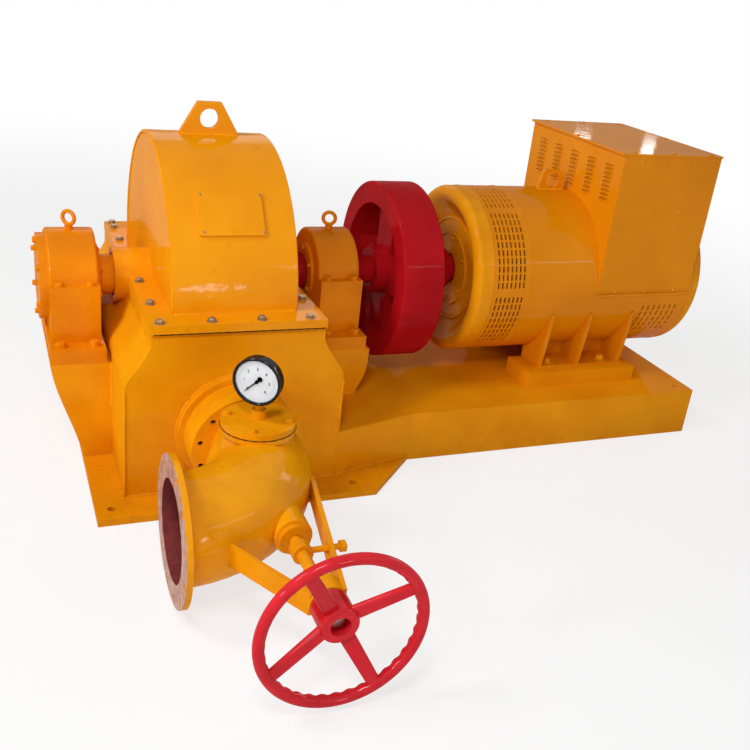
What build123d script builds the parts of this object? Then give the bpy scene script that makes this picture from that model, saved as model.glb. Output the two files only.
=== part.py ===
from build123d import *
import math
import os

os.makedirs("parts", exist_ok=True)

# Sizes in millimetres. The floor is z = 0, the turbine's centre plane is x = 0,
# the shaft runs along X, the valve and the handwheel are on the -Y side.

# Shaft line
axis_z = 617.0          # shaft centre height above the floor
shaft_r = 55.0
run_gap = 0.1           # running clearance of the shaft in its bearings
air_gap = 7.0           # clearance of turning pieces in fixed openings

# Lower case of the turbine, welded from plate
case_half_x = 375.0
case_half_y = 577.0
case_t = 16.0
case_side_t = 12.0
shoulder_in = 82.0      # the case narrows by this on each side at its neck
neck_half_x = case_half_x - shoulder_in
case_top = axis_z - 3.0
shoulder_z0 = axis_z - 206.0
shoulder_z1 = axis_z - 52.0
shoulder_mid_x = neck_half_x + 0.634 * (case_half_x - neck_half_x)
shoulder_mid_z = shoulder_z0 + 0.448 * (shoulder_z1 - shoulder_z0)

# Bearing brackets and bearings
bearing_stand = 109.0   # bearing centre outside the side of the case
bearing_x = case_half_x + bearing_stand
bearing_half_w = 83.0
bearing_foot_half_w = 92.0
bearing_cap_r = 170.0
bearing_half_y = bearing_cap_r + 35.0
bracket_half_y = bearing_half_y + 71.0
bracket_top = axis_z - 229.0
bearing_foot_top = axis_z - 177.0
bearing_lip = 23.0
cover_r = bearing_cap_r - 18.0
inner_cover_r = bearing_cap_r - 58.0
closed_cover_t = 28.0
open_cover_t = 12.0
eye_ring_r = 23.5
eye_wire_r = 7.0
eye_turns = (-40.0, -20.0)     # the two eyes stand at the angles their threads stopped at

# Flywheel and coupling
fly_stand = 97.0        # free space between bearing and flywheel
fly_w = 168.0
fly_r = 351.0
fly_in_r = fly_r - 85.0
fly_hub_r = shaft_r + 37.0
fly_web_t = 66.0
spoke_w = 140.0
sleeve_r = shaft_r + 17.0
coupling_stand = 18.0
coupling_len = 146.0
coupling_r = shaft_r + 25.0
wheel_x0 = bearing_x + bearing_half_w + open_cover_t + fly_stand
wheel_x1 = wheel_x0 + fly_w
coupling_x0 = wheel_x1 + coupling_stand
coupling_x1 = coupling_x0 + coupling_len

# Generator
gen_r = 340.0
gen_wall = 8.0
gen_len = 980.0
bell_len = 70.0
rear_t = 38.0
dish_in = 18.0          # the coupling reaches this far into the dished bell
bell_x0 = coupling_x1 - dish_in
gen_x0 = bell_x0 + bell_len
gen_x1 = gen_x0 + gen_len
rear_x1 = gen_x1 + rear_t
box_len = 471.0
box_back = 22.0
box_rise = 559.0
box_t = 5.0
box_x1 = gen_x1 - box_back
box_x0 = box_x1 - box_len
box_top = axis_z + box_rise
frame_clear = 15.0      # under the barrel, above the packing pads
pad_top = axis_z - gen_r - frame_clear
pad_front = 340.0
pad_w = 180.0
gen_foot_t = 12.0
gen_foot_w = 150.0
gen_foot_x = gen_x1 - 460.0
gen_lug_x = gen_x1 - 583.0

# Turbine foot and base frame
foot_t = 24.0
foot_in = 37.0          # the foot reaches this far under the case
foot_left = -case_half_x - 102.0
foot_front = case_half_y + 127.0
foot_right = case_half_x + 121.0
anchor_x = case_half_x + 51.0
anchor_y = case_half_y + 64.0
anchor_r = 14.0
pad_h = 61.0
fly_clear = 65.0        # under the flywheel, above the base
base_h = min(pad_top - pad_h, axis_z - fly_r - fly_clear)
base_top_t = 16.0
base_wall = 16.0
base_half = 486.0
base_bend = case_half_x + 338.0
base_end = gen_x1 + 13.0
base_hole_r = 12.0
base_hole_in = 56.0
base_hole_side = 52.0

# Hood over the runner
flange_t = 31.0
flange_w = 104.0
flange_half_x = neck_half_x
flange_half_y = case_half_y + 15.0
flange_in_y = flange_half_y - flange_w
hood_ledge = 83.0       # flange left free outside the hood ends
hood_half_x = neck_half_x - hood_ledge
hood_end_t = 12.0
hood_r = flange_half_y - 92.0
hood_t = 10.0
hood_z = axis_z + 17.0
hood_top = hood_z + hood_r
seal_r = sleeve_r + 26.0
seal_end = bearing_x - bearing_half_w - 63.0
lug_hole_r = 34.0
lug_t = 25.0
gen_lug_hole_r = 32.0
gen_lug_t = 20.0
plate_x0 = -115.0
plate_len = 217.0
plate_t = 10.0

# Nozzle, elbow and spindle valve
pipe_r = 162.5
pipe_wall = 12.5
pipe_bore = pipe_r - pipe_wall
inlet_flange_r = pipe_r + 57.5
inlet_flange_t = 18.0
inlet_pcd = 2 * (pipe_r + 35.0)
inlet_hole_r = 11.0
flange_lift = 30.0
valve_z = inlet_flange_r + flange_lift
boss_r = valve_z - 45.0
boss_t = 30.0
stub_r = 125.0
stub_bore = stub_r - 13.0
joint_out = 91.0        # stub flange face in front of the case
joint_y = -case_half_y - joint_out
joint_r = stub_r + 60.0
joint_t = 54.0
joint_bolt_r = joint_r - 25.0
joint_bolts = 12
joint_hole_r = 9.0
joint_hole_deep = 24.0
bend_r = 308.0
inlet_y = joint_y - 469.0
bend_y = inlet_y + bend_r
neck_x = -14.0
neck_y = joint_y - 204.0
neck_top = valve_z + 174.0
neck_r = 104.0
neck_wall = 14.0
neck_foot_r = neck_r + 44.0
cover_disc_r = neck_r + 13.0
cover_disc_t = 20.0
cover_z = neck_top + cover_disc_t
gauge_r = 75.0
gauge_d = 34.0
gauge_out = 19.0        # the case stands this far in front of its stem
gauge_rim = 6.0
gauge_turn = -37.0
gauge_z = cover_z + 61.0 + gauge_r
gland_r = 56.0
gland_root = inlet_y + 87.0
gland_end = inlet_y - 105.0
gland_ring_t = 18.0
spindle_r = 18.0
spindle_gap = 0.5
travel = 60.0           # stroke of the spindle
nut_r = 30.0            # nut sleeve of the handwheel, turning in the yoke hub
guide_y = gland_end - gland_ring_t - 52.0
guide_r = 9.0
yoke_hub_r = 52.0
yoke_hub_len = 62.0
yoke_hub_y0 = guide_y - travel - 114.0
yoke_hub_y1 = yoke_hub_y0 - yoke_hub_len
wheel_r = valve_z - 18.0
rim_r = 15.0
wheel_hub_r = 52.0
wheel_hub_len = 88.0
wheel_hub_y0 = yoke_hub_y1 - 6.0
wheel_hub_y1 = wheel_hub_y0 - wheel_hub_len
wheel_y = wheel_hub_y1 - 18.0
wheel_spokes = 4
wheel_spoke_angle = 29.0
hub_recess_r = spindle_r + 10.0
hub_recess = 34.0
spindle_end = wheel_hub_y1 + 26.0
spear_r = 60.0

# Turbine foot: a plate under the front and the back of the case, with anchor holes
with BuildPart() as foot_plates:
    for side in (-1, 1):
        with BuildSketch() as outline:
            with BuildLine():
                Polyline(
                    (foot_left, side * foot_front),
                    (foot_right, side * foot_front),
                    (base_bend, side * base_half),
                    (case_half_x, side * case_half_y),
                    (case_half_x, side * (case_half_y - foot_in)),
                    (foot_left, side * (case_half_y - foot_in)),
                    close=True,
                )
            make_face()
            with Locations((-anchor_x, side * anchor_y), (anchor_x, side * anchor_y)):
                Circle(anchor_r, mode=Mode.SUBTRACT)
        extrude(amount=foot_t)
foot_plates.part.label = "foot_plates"
export_step(foot_plates.part, "parts/foot_plates.step")

# Side strips of the same foot, under the left bracket and the right side plate
with BuildPart() as foot_strips:
    strip_w = foot_in - 2
    left_w = -foot_left - case_half_x + strip_w
    with Locations((foot_left + left_w / 2, 0, foot_t / 2)):
        Box(left_w, 2 * (case_half_y - foot_in), foot_t)
    with Locations((case_half_x - strip_w / 2, 0, foot_t / 2)):
        Box(strip_w, 2 * (case_half_y - foot_in), foot_t)
foot_strips.part.label = "foot_strips"
export_step(foot_strips.part, "parts/foot_strips.step")

# Generator base: top plate, two rails, two slanted wings and an end plate
with BuildPart() as base_top_plate:
    with BuildSketch(Plane.XY.offset(base_h - base_top_t)):
        with BuildLine():
            Polyline(
                (case_half_x, -case_half_y),
                (base_bend, -base_half),
                (base_end, -base_half),
                (base_end, base_half),
                (base_bend, base_half),
                (case_half_x, case_half_y),
                close=True,
            )
        make_face()
        hole_x = base_end - base_hole_in
        hole_y = base_half - base_hole_side
        with Locations((hole_x, -hole_y), (hole_x, hole_y)):
            Circle(base_hole_r, mode=Mode.SUBTRACT)
    extrude(amount=base_top_t)
base_top_plate.part.label = "base_top_plate"
export_step(base_top_plate.part, "parts/base_top_plate.step")

rail_h = base_h - base_top_t
with BuildPart() as base_rails:
    for side in (-1, 1):
        with Locations(((base_bend + base_end) / 2, side * (base_half - base_wall / 2), rail_h / 2)):
            Box(base_end - base_bend, base_wall, rail_h)
base_rails.part.label = "base_rails"
export_step(base_rails.part, "parts/base_rails.step")

with BuildPart() as base_wings:
    for side in (-1, 1):
        with BuildSketch():
            with BuildLine():
                Polyline(
                    (case_half_x, side * case_half_y),
                    (base_bend, side * base_half),
                    (base_bend, side * (base_half - base_wall)),
                    (case_half_x, side * (case_half_y - base_wall)),
                    close=True,
                )
            make_face()
        extrude(amount=rail_h)
base_wings.part.label = "base_wings"
export_step(base_wings.part, "parts/base_wings.step")

with BuildPart() as base_end_plate:
    with Locations((base_end - base_wall / 2, 0, rail_h / 2)):
        Box(base_wall, 2 * (base_half - base_wall), rail_h)
base_end_plate.part.label = "base_end_plate"
export_step(base_end_plate.part, "parts/base_end_plate.step")

# Front and back plates of the lower case, with curved shoulders up to the hood flange
for side in (-1, 1):
    with BuildPart() as case_plate:
        with BuildSketch(Plane.XZ.offset(-side * (case_half_y - case_t))):
            with BuildLine():
                Line((-case_half_x, foot_t), (case_half_x, foot_t))
                Line((case_half_x, foot_t), (case_half_x, shoulder_z0))
                Spline(
                    (case_half_x, shoulder_z0),
                    (shoulder_mid_x, shoulder_mid_z),
                    (neck_half_x, shoulder_z1),
                    tangents=[(0, 1), (-0.45, 1)],
                )
                Line((neck_half_x, shoulder_z1), (neck_half_x, case_top))
                Line((neck_half_x, case_top), (-neck_half_x, case_top))
                Line((-neck_half_x, case_top), (-neck_half_x, shoulder_z1))
                Spline(
                    (-neck_half_x, shoulder_z1),
                    (-shoulder_mid_x, shoulder_mid_z),
                    (-case_half_x, shoulder_z0),
                    tangents=[(-0.45, -1), (0, -1)],
                )
                Line((-case_half_x, shoulder_z0), (-case_half_x, foot_t))
            make_face()
            if side < 0:
                with Locations((0, valve_z)):
                    Circle(stub_bore, mode=Mode.SUBTRACT)
        extrude(amount=-side * case_t)
    if side < 0:
        case_plate.part.label = "case_front_plate"
        export_step(case_plate.part, "parts/case_front_plate.step")
    else:
        case_plate.part.label = "case_back_plate"
        export_step(case_plate.part, "parts/case_back_plate.step")

# Bent side plates of the lower case, notched round the seal boxes
with BuildPart() as case_sides:
    for side in (-1, 1):
        with BuildSketch(Plane.XZ):
            with BuildLine():
                Line((side * case_half_x, foot_t), (side * case_half_x, shoulder_z0))
                Spline(
                    (side * case_half_x, shoulder_z0),
                    (side * shoulder_mid_x, shoulder_mid_z),
                    (side * neck_half_x, shoulder_z1),
                    tangents=[(0, 1), (-side * 0.45, 1)],
                )
                Line((side * neck_half_x, shoulder_z1), (side * neck_half_x, case_top))
                Line((side * neck_half_x, case_top), (side * (neck_half_x - case_side_t), case_top))
                Line(
                    (side * (neck_half_x - case_side_t), case_top),
                    (side * (neck_half_x - case_side_t), shoulder_z1),
                )
                Spline(
                    (side * (neck_half_x - case_side_t), shoulder_z1),
                    (side * (shoulder_mid_x - case_side_t), shoulder_mid_z),
                    (side * (case_half_x - case_side_t), shoulder_z0),
                    tangents=[(side * 0.45, -1), (0, -1)],
                )
                Line(
                    (side * (case_half_x - case_side_t), shoulder_z0),
                    (side * (case_half_x - case_side_t), foot_t),
                )
                Line((side * (case_half_x - case_side_t), foot_t), (side * case_half_x, foot_t))
            make_face()
        extrude(amount=case_half_y - case_t, both=True)
    with Locations(Location((0, 0, axis_z), (0, 90, 0))):
        Cylinder(seal_r + 0.5, 4 * case_half_x, mode=Mode.SUBTRACT)
case_sides.part.label = "case_sides"
export_step(case_sides.part, "parts/case_sides.step")

# Knee brackets that carry the bearings on both sides of the case
knee_x = bearing_x + 95
knee_h = bracket_top - foot_t
with BuildPart() as bracket_left:
    with BuildSketch(Plane.XZ):
        with BuildLine():
            Line((-case_half_x, foot_t), (foot_left, foot_t))
            Spline(
                (foot_left, foot_t),
                (-knee_x + 45, foot_t + 0.525 * knee_h),
                (-knee_x + 6, foot_t + 0.896 * knee_h),
                (-knee_x, bracket_top),
            )
            Line((-knee_x, bracket_top), (-case_half_x, bracket_top))
            Line((-case_half_x, bracket_top), (-case_half_x, foot_t))
        make_face()
    extrude(amount=bracket_half_y, both=True)
bracket_left.part.label = "bracket_left"
export_step(bracket_left.part, "parts/bracket_left.step")

with BuildPart() as bracket_right:
    with BuildSketch(Plane.XZ):
        with BuildLine():
            Line((case_half_x, base_h), (knee_x - 29, base_h))
            Spline(
                (knee_x - 29, base_h),
                (knee_x + 3, base_h + 0.396 * (bracket_top - base_h)),
                (knee_x + 14, bracket_top),
                tangents=[(0.3, 1), (0, 1)],
            )
            Line((knee_x + 14, bracket_top), (case_half_x, bracket_top))
            Line((case_half_x, bracket_top), (case_half_x, base_h))
        make_face()
    extrude(amount=bracket_half_y, both=True)
bracket_right.part.label = "bracket_right"
export_step(bracket_right.part, "parts/bracket_right.step")

# Bearing pedestals, split at shaft height, with half bores
with BuildPart() as bearing_bases:
    for side in (-1, 1):
        with Locations((side * bearing_x, 0, (bracket_top + bearing_foot_top) / 2)):
            Box(2 * bearing_foot_half_w, 2 * bracket_half_y, bearing_foot_top - bracket_top)
        with Locations((side * bearing_x, 0, (bearing_foot_top + axis_z) / 2)):
            Box(2 * bearing_half_w, 2 * bearing_half_y, axis_z - bearing_foot_top)
    with Locations(Location((0, 0, axis_z), (0, 90, 0))):
        Cylinder(shaft_r + run_gap, 4 * bearing_x, mode=Mode.SUBTRACT)
bearing_bases.part.label = "bearing_bases"
export_step(bearing_bases.part, "parts/bearing_bases.step")

with BuildPart() as bearing_caps:
    for side in (-1, 1):
        with BuildSketch(Plane.YZ.offset(side * bearing_x)):
            with Locations((0, axis_z)):
                Circle(bearing_cap_r)
            with Locations((0, axis_z + bearing_lip / 2)):
                Rectangle(2 * bearing_half_y, bearing_lip)
            with Locations((0, axis_z - bearing_cap_r)):
                Rectangle(4 * bearing_cap_r, 2 * bearing_cap_r, mode=Mode.SUBTRACT)
            with Locations((0, axis_z)):
                Circle(shaft_r + run_gap, mode=Mode.SUBTRACT)
        extrude(amount=bearing_half_w, both=True)
    rounded = bearing_caps.edges().filter_by(GeomType.CIRCLE)
    rounded = rounded.filter_by(lambda e: abs(e.radius - bearing_cap_r) < 1)
    fillet(rounded, radius=10)
bearing_caps.part.label = "bearing_caps"
export_step(bearing_caps.part, "parts/bearing_caps.step")

# Round end covers: closed on the outboard end of the left bearing, open on the rest
with BuildPart() as bearing_covers:
    for x, r, t, bored in (
        (-bearing_x - bearing_half_w - closed_cover_t / 2, cover_r, closed_cover_t, False),
        (-bearing_x + bearing_half_w + open_cover_t / 2, inner_cover_r, open_cover_t, True),
        (bearing_x - bearing_half_w - open_cover_t / 2, inner_cover_r, open_cover_t, True),
        (bearing_x + bearing_half_w + open_cover_t / 2, inner_cover_r, open_cover_t, True),
    ):
        with Locations(Location((x, 0, axis_z), (0, 90, 0))):
            Cylinder(r, t)
        if bored:
            with Locations(Location((x, 0, axis_z), (0, 90, 0))):
                Cylinder(shaft_r + air_gap, t, mode=Mode.SUBTRACT)
bearing_covers.part.label = "bearing_covers"
export_step(bearing_covers.part, "parts/bearing_covers.step")

# Lifting eyes screwed into the bearing caps
cap_top = axis_z + bearing_cap_r
eye_z = cap_top + 10 + eye_ring_r + eye_wire_r
with BuildPart() as bearing_eyes:
    for side, eye_turn in zip((-1, 1), eye_turns):
        with Locations((side * bearing_x, 0, cap_top + 6)):
            Cylinder(14, 12)
        with Locations(Location((side * bearing_x, 0, eye_z), (90, eye_turn, 0))):
            Torus(eye_ring_r, eye_wire_r)
bearing_eyes.part.label = "bearing_eyes"
export_step(bearing_eyes.part, "parts/bearing_eyes.step")

# Hood flange: front and back bars, and four side bars that stop at the seal boxes
flange_mid = case_top + flange_t / 2
flange_top = case_top + flange_t
with BuildPart() as hood_flange_bars:
    for side in (-1, 1):
        with Locations((0, side * (flange_half_y + flange_in_y) / 2, flange_mid)):
            Box(2 * flange_half_x, flange_w, flange_t)
hood_flange_bars.part.label = "hood_flange_bars"
export_step(hood_flange_bars.part, "parts/hood_flange_bars.step")

with BuildPart() as hood_side_bars:
    bar_in = hood_half_x - hood_end_t
    bar_end = seal_r + 1
    for side in (-1, 1):
        for end in (-1, 1):
            bar_x = side * (flange_half_x + bar_in) / 2
            bar_y = end * (flange_in_y + bar_end) / 2
            with Locations((bar_x, bar_y, flange_mid)):
                Box(flange_half_x - bar_in, flange_in_y - bar_end, flange_t)
hood_side_bars.part.label = "hood_side_bars"
export_step(hood_side_bars.part, "parts/hood_side_bars.step")

# Hood: a rolled arch between two flat end plates
with BuildPart() as hood_arch:
    with BuildSketch(Plane.YZ):
        with Locations((0, hood_z)):
            Circle(hood_r)
            Circle(hood_r - hood_t, mode=Mode.SUBTRACT)
        with Locations((0, flange_top - hood_r)):
            Rectangle(3 * hood_r, 2 * hood_r, mode=Mode.SUBTRACT)
    extrude(amount=hood_half_x, both=True)
hood_arch.part.label = "hood_arch"
export_step(hood_arch.part, "parts/hood_arch.step")

with BuildPart() as hood_ends:
    for side in (-1, 1):
        with BuildSketch(Plane.YZ.offset(side * (hood_half_x - hood_end_t / 2))):
            with Locations((0, hood_z)):
                Circle(hood_r - hood_t)
            with Locations((0, flange_top - hood_r)):
                Rectangle(3 * hood_r, 2 * hood_r, mode=Mode.SUBTRACT)
            with Locations((0, axis_z)):
                Circle(sleeve_r + air_gap, mode=Mode.SUBTRACT)
        extrude(amount=hood_end_t / 2, both=True)
hood_ends.part.label = "hood_ends"
export_step(hood_ends.part, "parts/hood_ends.step")

# Lifting lug on top of the hood
with BuildPart() as hood_lug:
    with BuildSketch(Plane.XZ):
        with BuildLine():
            Polyline(
                (-104, hood_top - 14),
                (104, hood_top - 14),
                (104, hood_top + 6),
                (42, hood_top + 112),
                (-42, hood_top + 112),
                (-104, hood_top + 6),
                close=True,
            )
        make_face()
        with Locations((0, hood_top + 55)):
            Circle(lug_hole_r, mode=Mode.SUBTRACT)
    extrude(amount=lug_t / 2, both=True)
    with Locations(Location((0, 0, hood_z), (0, 90, 0))):
        Cylinder(hood_r, 2 * hood_half_x, mode=Mode.SUBTRACT)
hood_lug.part.label = "hood_lug"
export_step(hood_lug.part, "parts/hood_lug.step")

# Blank plate on the front of the hood
with BuildPart() as blank_plate:
    with BuildSketch(Plane.YZ.offset(plate_x0)):
        with Locations((0, hood_z)):
            Circle(hood_r + plate_t)
            Circle(hood_r, mode=Mode.SUBTRACT)
        a0 = math.radians(149.5)
        a1 = math.radians(132.0)
        far = 2 * hood_r
        with BuildLine():
            Polyline(
                (0, hood_z),
                (far * math.cos(a0), hood_z + far * math.sin(a0)),
                (far * math.cos(a1), hood_z + far * math.sin(a1)),
                close=True,
            )
        make_face(mode=Mode.INTERSECT)
    extrude(amount=plate_len)
blank_plate.part.label = "blank_plate"
export_step(blank_plate.part, "parts/blank_plate.step")

# Seal boxes where the shaft enters the hood
with BuildPart() as seal_boxes:
    for side in (-1, 1):
        with Locations(Location((side * (hood_half_x + seal_end) / 2, 0, axis_z), (0, 90, 0))):
            Cylinder(seal_r, seal_end - hood_half_x)
            Cylinder(sleeve_r + air_gap, seal_end - hood_half_x, mode=Mode.SUBTRACT)
seal_boxes.part.label = "seal_boxes"
export_step(seal_boxes.part, "parts/seal_boxes.step")

# Nozzle stub on the front plate: welded boss and a thick round flange
nozzle_line = Axis((0, 0, valve_z), (0, 1, 0))
with BuildPart() as nozzle_stub:
    with BuildSketch(Plane.XY.offset(valve_z)):
        with BuildLine():
            Polyline(
                (stub_bore, -case_half_y),
                (boss_r, -case_half_y),
                (boss_r, -case_half_y - boss_t),
                (joint_r, -case_half_y - boss_t),
                (joint_r, joint_y),
                (stub_bore, joint_y),
                close=True,
            )
        make_face()
    revolve(axis=nozzle_line)
nozzle_stub.part.label = "nozzle_stub"
export_step(nozzle_stub.part, "parts/nozzle_stub.step")

# Elbow body: flange, taper, round bend, cover neck and gland neck in one casting
with BuildPart() as elbow_body:
    with BuildSketch(Plane.XY.offset(valve_z)):
        with BuildLine():
            Polyline(
                (0, joint_y),
                (joint_r, joint_y),
                (joint_r, joint_y - joint_t),
                (stub_r, joint_y - joint_t),
                (pipe_r, bend_y),
                (0, bend_y),
                close=True,
            )
        make_face()
    revolve(axis=nozzle_line)
    with BuildLine() as bend_path:
        CenterArc((-bend_r, bend_y, valve_z), bend_r, 0, -90)
    with BuildSketch(Plane(origin=(0, bend_y, valve_z), x_dir=(1, 0, 0), z_dir=(0, -1, 0))):
        Circle(pipe_r)
    sweep(path=bend_path.line)
    with Locations((neck_x, neck_y, (valve_z + neck_top) / 2)):
        Cone(neck_foot_r, neck_r, neck_top - valve_z)
    with Locations((neck_x, neck_y, neck_top - 9)):
        Cylinder(cover_disc_r, 18)
    with Locations(Location((0, (gland_end + gland_root) / 2, valve_z), (90, 0, 0))):
        Cylinder(gland_r, gland_root - gland_end)
    with BuildSketch(Plane.XY.offset(valve_z)):
        with BuildLine():
            Polyline(
                (0, joint_y),
                (stub_bore, joint_y),
                (stub_bore, joint_y - joint_t),
                (pipe_bore, bend_y),
                (0, bend_y),
                close=True,
            )
        make_face()
    revolve(axis=nozzle_line, mode=Mode.SUBTRACT)
    with BuildSketch(Plane(origin=(0, bend_y, valve_z), x_dir=(1, 0, 0), z_dir=(0, -1, 0))):
        Circle(pipe_bore)
    sweep(path=bend_path.line, mode=Mode.SUBTRACT)
    with Locations((neck_x, neck_y, (valve_z + neck_top) / 2)):
        Cylinder(neck_r - neck_wall, neck_top - valve_z, mode=Mode.SUBTRACT)
    with Locations(Location((0, (gland_end + gland_root) / 2, valve_z), (90, 0, 0))):
        Cylinder(spindle_r + spindle_gap, 2 * (gland_root - gland_end), mode=Mode.SUBTRACT)
    with BuildSketch(Plane(origin=(0, joint_y - joint_t, valve_z), x_dir=(1, 0, 0), z_dir=(0, -1, 0))):
        with PolarLocations(joint_bolt_r, joint_bolts, start_angle=17):
            Circle(joint_hole_r)
    extrude(amount=-joint_hole_deep, mode=Mode.SUBTRACT)
elbow_body.part.label = "elbow_body"
export_step(elbow_body.part, "parts/elbow_body.step")

# Inlet flange with its bolt circle
with BuildPart() as inlet_flange:
    with BuildSketch(Plane.YZ.offset(-bend_r - inlet_flange_t)):
        with Locations((inlet_y, valve_z)):
            Circle(inlet_flange_r)
            Circle(pipe_bore, mode=Mode.SUBTRACT)
            with PolarLocations(inlet_pcd / 2, 12, start_angle=15):
                Circle(inlet_hole_r, mode=Mode.SUBTRACT)
    extrude(amount=inlet_flange_t)
inlet_flange.part.label = "inlet_flange"
export_step(inlet_flange.part, "parts/inlet_flange.step")

# Hand-hole cover and the pressure gauge on it
with BuildPart() as neck_cover:
    with Locations((neck_x, neck_y, neck_top + cover_disc_t / 2)):
        Cylinder(cover_disc_r, cover_disc_t)
neck_cover.part.label = "neck_cover"
export_step(neck_cover.part, "parts/neck_cover.step")

with BuildPart() as gauge_stem:
    with Locations((neck_x, neck_y, cover_z + 16)):
        Cylinder(22, 32)
    with Locations((neck_x, neck_y, (cover_z + 32 + gauge_z - gauge_r) / 2)):
        Cylinder(13, gauge_z - gauge_r - cover_z - 32)
gauge_stem.part.label = "gauge_stem"
export_step(gauge_stem.part, "parts/gauge_stem.step")

face_dir = Vector(math.sin(math.radians(gauge_turn)), -math.cos(math.radians(gauge_turn)), 0)
gauge_mid = Vector(neck_x, neck_y, gauge_z) + face_dir * gauge_out
gauge_plane = Plane(origin=gauge_mid, x_dir=(face_dir.Y * -1, face_dir.X, 0), z_dir=face_dir)
with BuildPart() as gauge_case:
    with BuildSketch(gauge_plane.offset(-gauge_d / 2)):
        Circle(gauge_r)
    extrude(amount=gauge_d)
    with BuildSketch(gauge_plane.offset(gauge_d / 2)):
        Circle(gauge_r - gauge_rim)
    extrude(amount=-gauge_rim, mode=Mode.SUBTRACT)
    with Locations((neck_x, neck_y, gauge_z - gauge_r + 6)):
        Cylinder(13, 12)
gauge_case.part.label = "gauge_case"
export_step(gauge_case.part, "parts/gauge_case.step")

with BuildPart() as gauge_dial:
    with BuildSketch(gauge_plane.offset(gauge_d / 2 - gauge_rim)):
        Circle(gauge_r - gauge_rim - 0.5)
    extrude(amount=2)
gauge_dial.part.label = "gauge_dial"
export_step(gauge_dial.part, "parts/gauge_dial.step")

# Packing gland that holds the spindle tight in the gland neck
with BuildPart() as gland_ring:
    with Locations(Location((0, gland_end - gland_ring_t / 2, valve_z), (90, 0, 0))):
        Cylinder(gland_r - 10, gland_ring_t)
        Cylinder(spindle_r + spindle_gap, gland_ring_t, mode=Mode.SUBTRACT)
gland_ring.part.label = "gland_ring"
export_step(gland_ring.part, "parts/gland_ring.step")

# Yoke: two flat arms welded to the elbow, meeting at a hub that guides the spindle
arm_h = 66.0
arm_t = 14.0
with BuildPart() as yoke:
    with Locations(Location((0, (yoke_hub_y0 + yoke_hub_y1) / 2, valve_z), (90, 0, 0))):
        Cylinder(yoke_hub_r, yoke_hub_y0 - yoke_hub_y1)
    arm_end = yoke_hub_r - 9
    for x0, y0, x1 in ((-200, inlet_y - 133, -arm_end), (137, inlet_y + 157, arm_end)):
        with BuildSketch(Plane.XY.offset(valve_z - arm_h / 2)):
            with BuildLine():
                Polyline(
                    (x0 - arm_t / 2, y0),
                    (x0 + arm_t / 2, y0),
                    (x1 + arm_t / 2, yoke_hub_y1 + 8),
                    (x1 - arm_t / 2, yoke_hub_y1 + 8),
                    close=True,
                )
            make_face()
        extrude(amount=arm_h)
    with Locations(Location((0, (yoke_hub_y0 + yoke_hub_y1) / 2, valve_z), (90, 0, 0))):
        Cylinder(nut_r + run_gap, 4 * yoke_hub_len, mode=Mode.SUBTRACT)
    with Locations((90, guide_y - travel / 2, valve_z)):
        Box(120, travel + 2 * guide_r + 12, 2 * guide_r + 12, mode=Mode.SUBTRACT)
    with BuildSketch(Plane.XY.offset(valve_z)):
        with BuildLine():
            Polyline((0, joint_y), (pipe_r, joint_y), (pipe_r, bend_y), (0, bend_y), close=True)
        make_face()
    revolve(axis=nozzle_line, mode=Mode.SUBTRACT)
    with BuildSketch(Plane(origin=(0, bend_y, valve_z), x_dir=(1, 0, 0), z_dir=(0, -1, 0))):
        Circle(pipe_r)
    sweep(path=bend_path.line, mode=Mode.SUBTRACT)
yoke.part.label = "yoke"
export_step(yoke.part, "parts/yoke.step")

# Handwheel: round rim, four dished spokes and a long hub, bored for the spindle
with BuildPart() as handwheel:
    with Locations(Location((0, wheel_y, valve_z), (90, 0, 0))):
        Torus(wheel_r - rim_r, rim_r)
    with Locations(Location((0, (wheel_hub_y0 + wheel_hub_y1) / 2, valve_z), (90, 0, 0))):
        Cylinder(wheel_hub_r, wheel_hub_y0 - wheel_hub_y1)
    with Locations(Location((0, (yoke_hub_y0 + wheel_hub_y0) / 2, valve_z), (90, 0, 0))):
        Cylinder(nut_r, yoke_hub_y0 - wheel_hub_y0)
    for i in range(wheel_spokes):
        a = math.radians(wheel_spoke_angle + 360 / wheel_spokes * i)
        radial = Vector(math.cos(a), 0, math.sin(a))
        p0 = Vector(0, wheel_hub_y1 + 24, valve_z) + radial * (hub_recess_r + 8)
        p1 = Vector(0, wheel_y, valve_z) + radial * (wheel_r - rim_r)
        across = (-math.sin(a), 0, math.cos(a))
        with BuildSketch(Plane(origin=p0, x_dir=across, z_dir=p1 - p0)):
            RectangleRounded(44, 20, 9)
        with BuildSketch(Plane(origin=p1, x_dir=across, z_dir=p1 - p0)):
            RectangleRounded(36, 18, 8)
        loft()
    with Locations(Location((0, (wheel_hub_y0 + wheel_hub_y1) / 2, valve_z), (90, 0, 0))):
        Cylinder(spindle_r + spindle_gap, 4 * wheel_hub_len, mode=Mode.SUBTRACT)
    with Locations(Location((0, wheel_hub_y1 + hub_recess / 2, valve_z), (90, 0, 0))):
        Cylinder(hub_recess_r, hub_recess, mode=Mode.SUBTRACT)
    hub_rim = handwheel.edges().filter_by(GeomType.CIRCLE)
    hub_rim = hub_rim.filter_by(lambda e: abs(e.radius - wheel_hub_r) < 0.5).sort_by(Axis.Y)[0]
    chamfer(hub_rim, 5)
handwheel.part.label = "handwheel"
export_step(handwheel.part, "parts/handwheel.step")

# Valve spindle with its spear point inside the nozzle, and the guide rod across it
with BuildPart() as spindle:
    with BuildSketch(Plane.XY.offset(valve_z)):
        with BuildLine():
            Polyline(
                (0, joint_y + 58),
                (spear_r, joint_y - 22),
                (spear_r, joint_y - 52),
                (spindle_r, joint_y - 122),
                (spindle_r, spindle_end),
                (0, spindle_end),
                close=True,
            )
        make_face()
    revolve(axis=nozzle_line)
    with Locations(Location((0, guide_y, valve_z), (90, 0, 0))):
        Cylinder(30, 40)
spindle.part.label = "spindle"
export_step(spindle.part, "parts/spindle.step")

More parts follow.
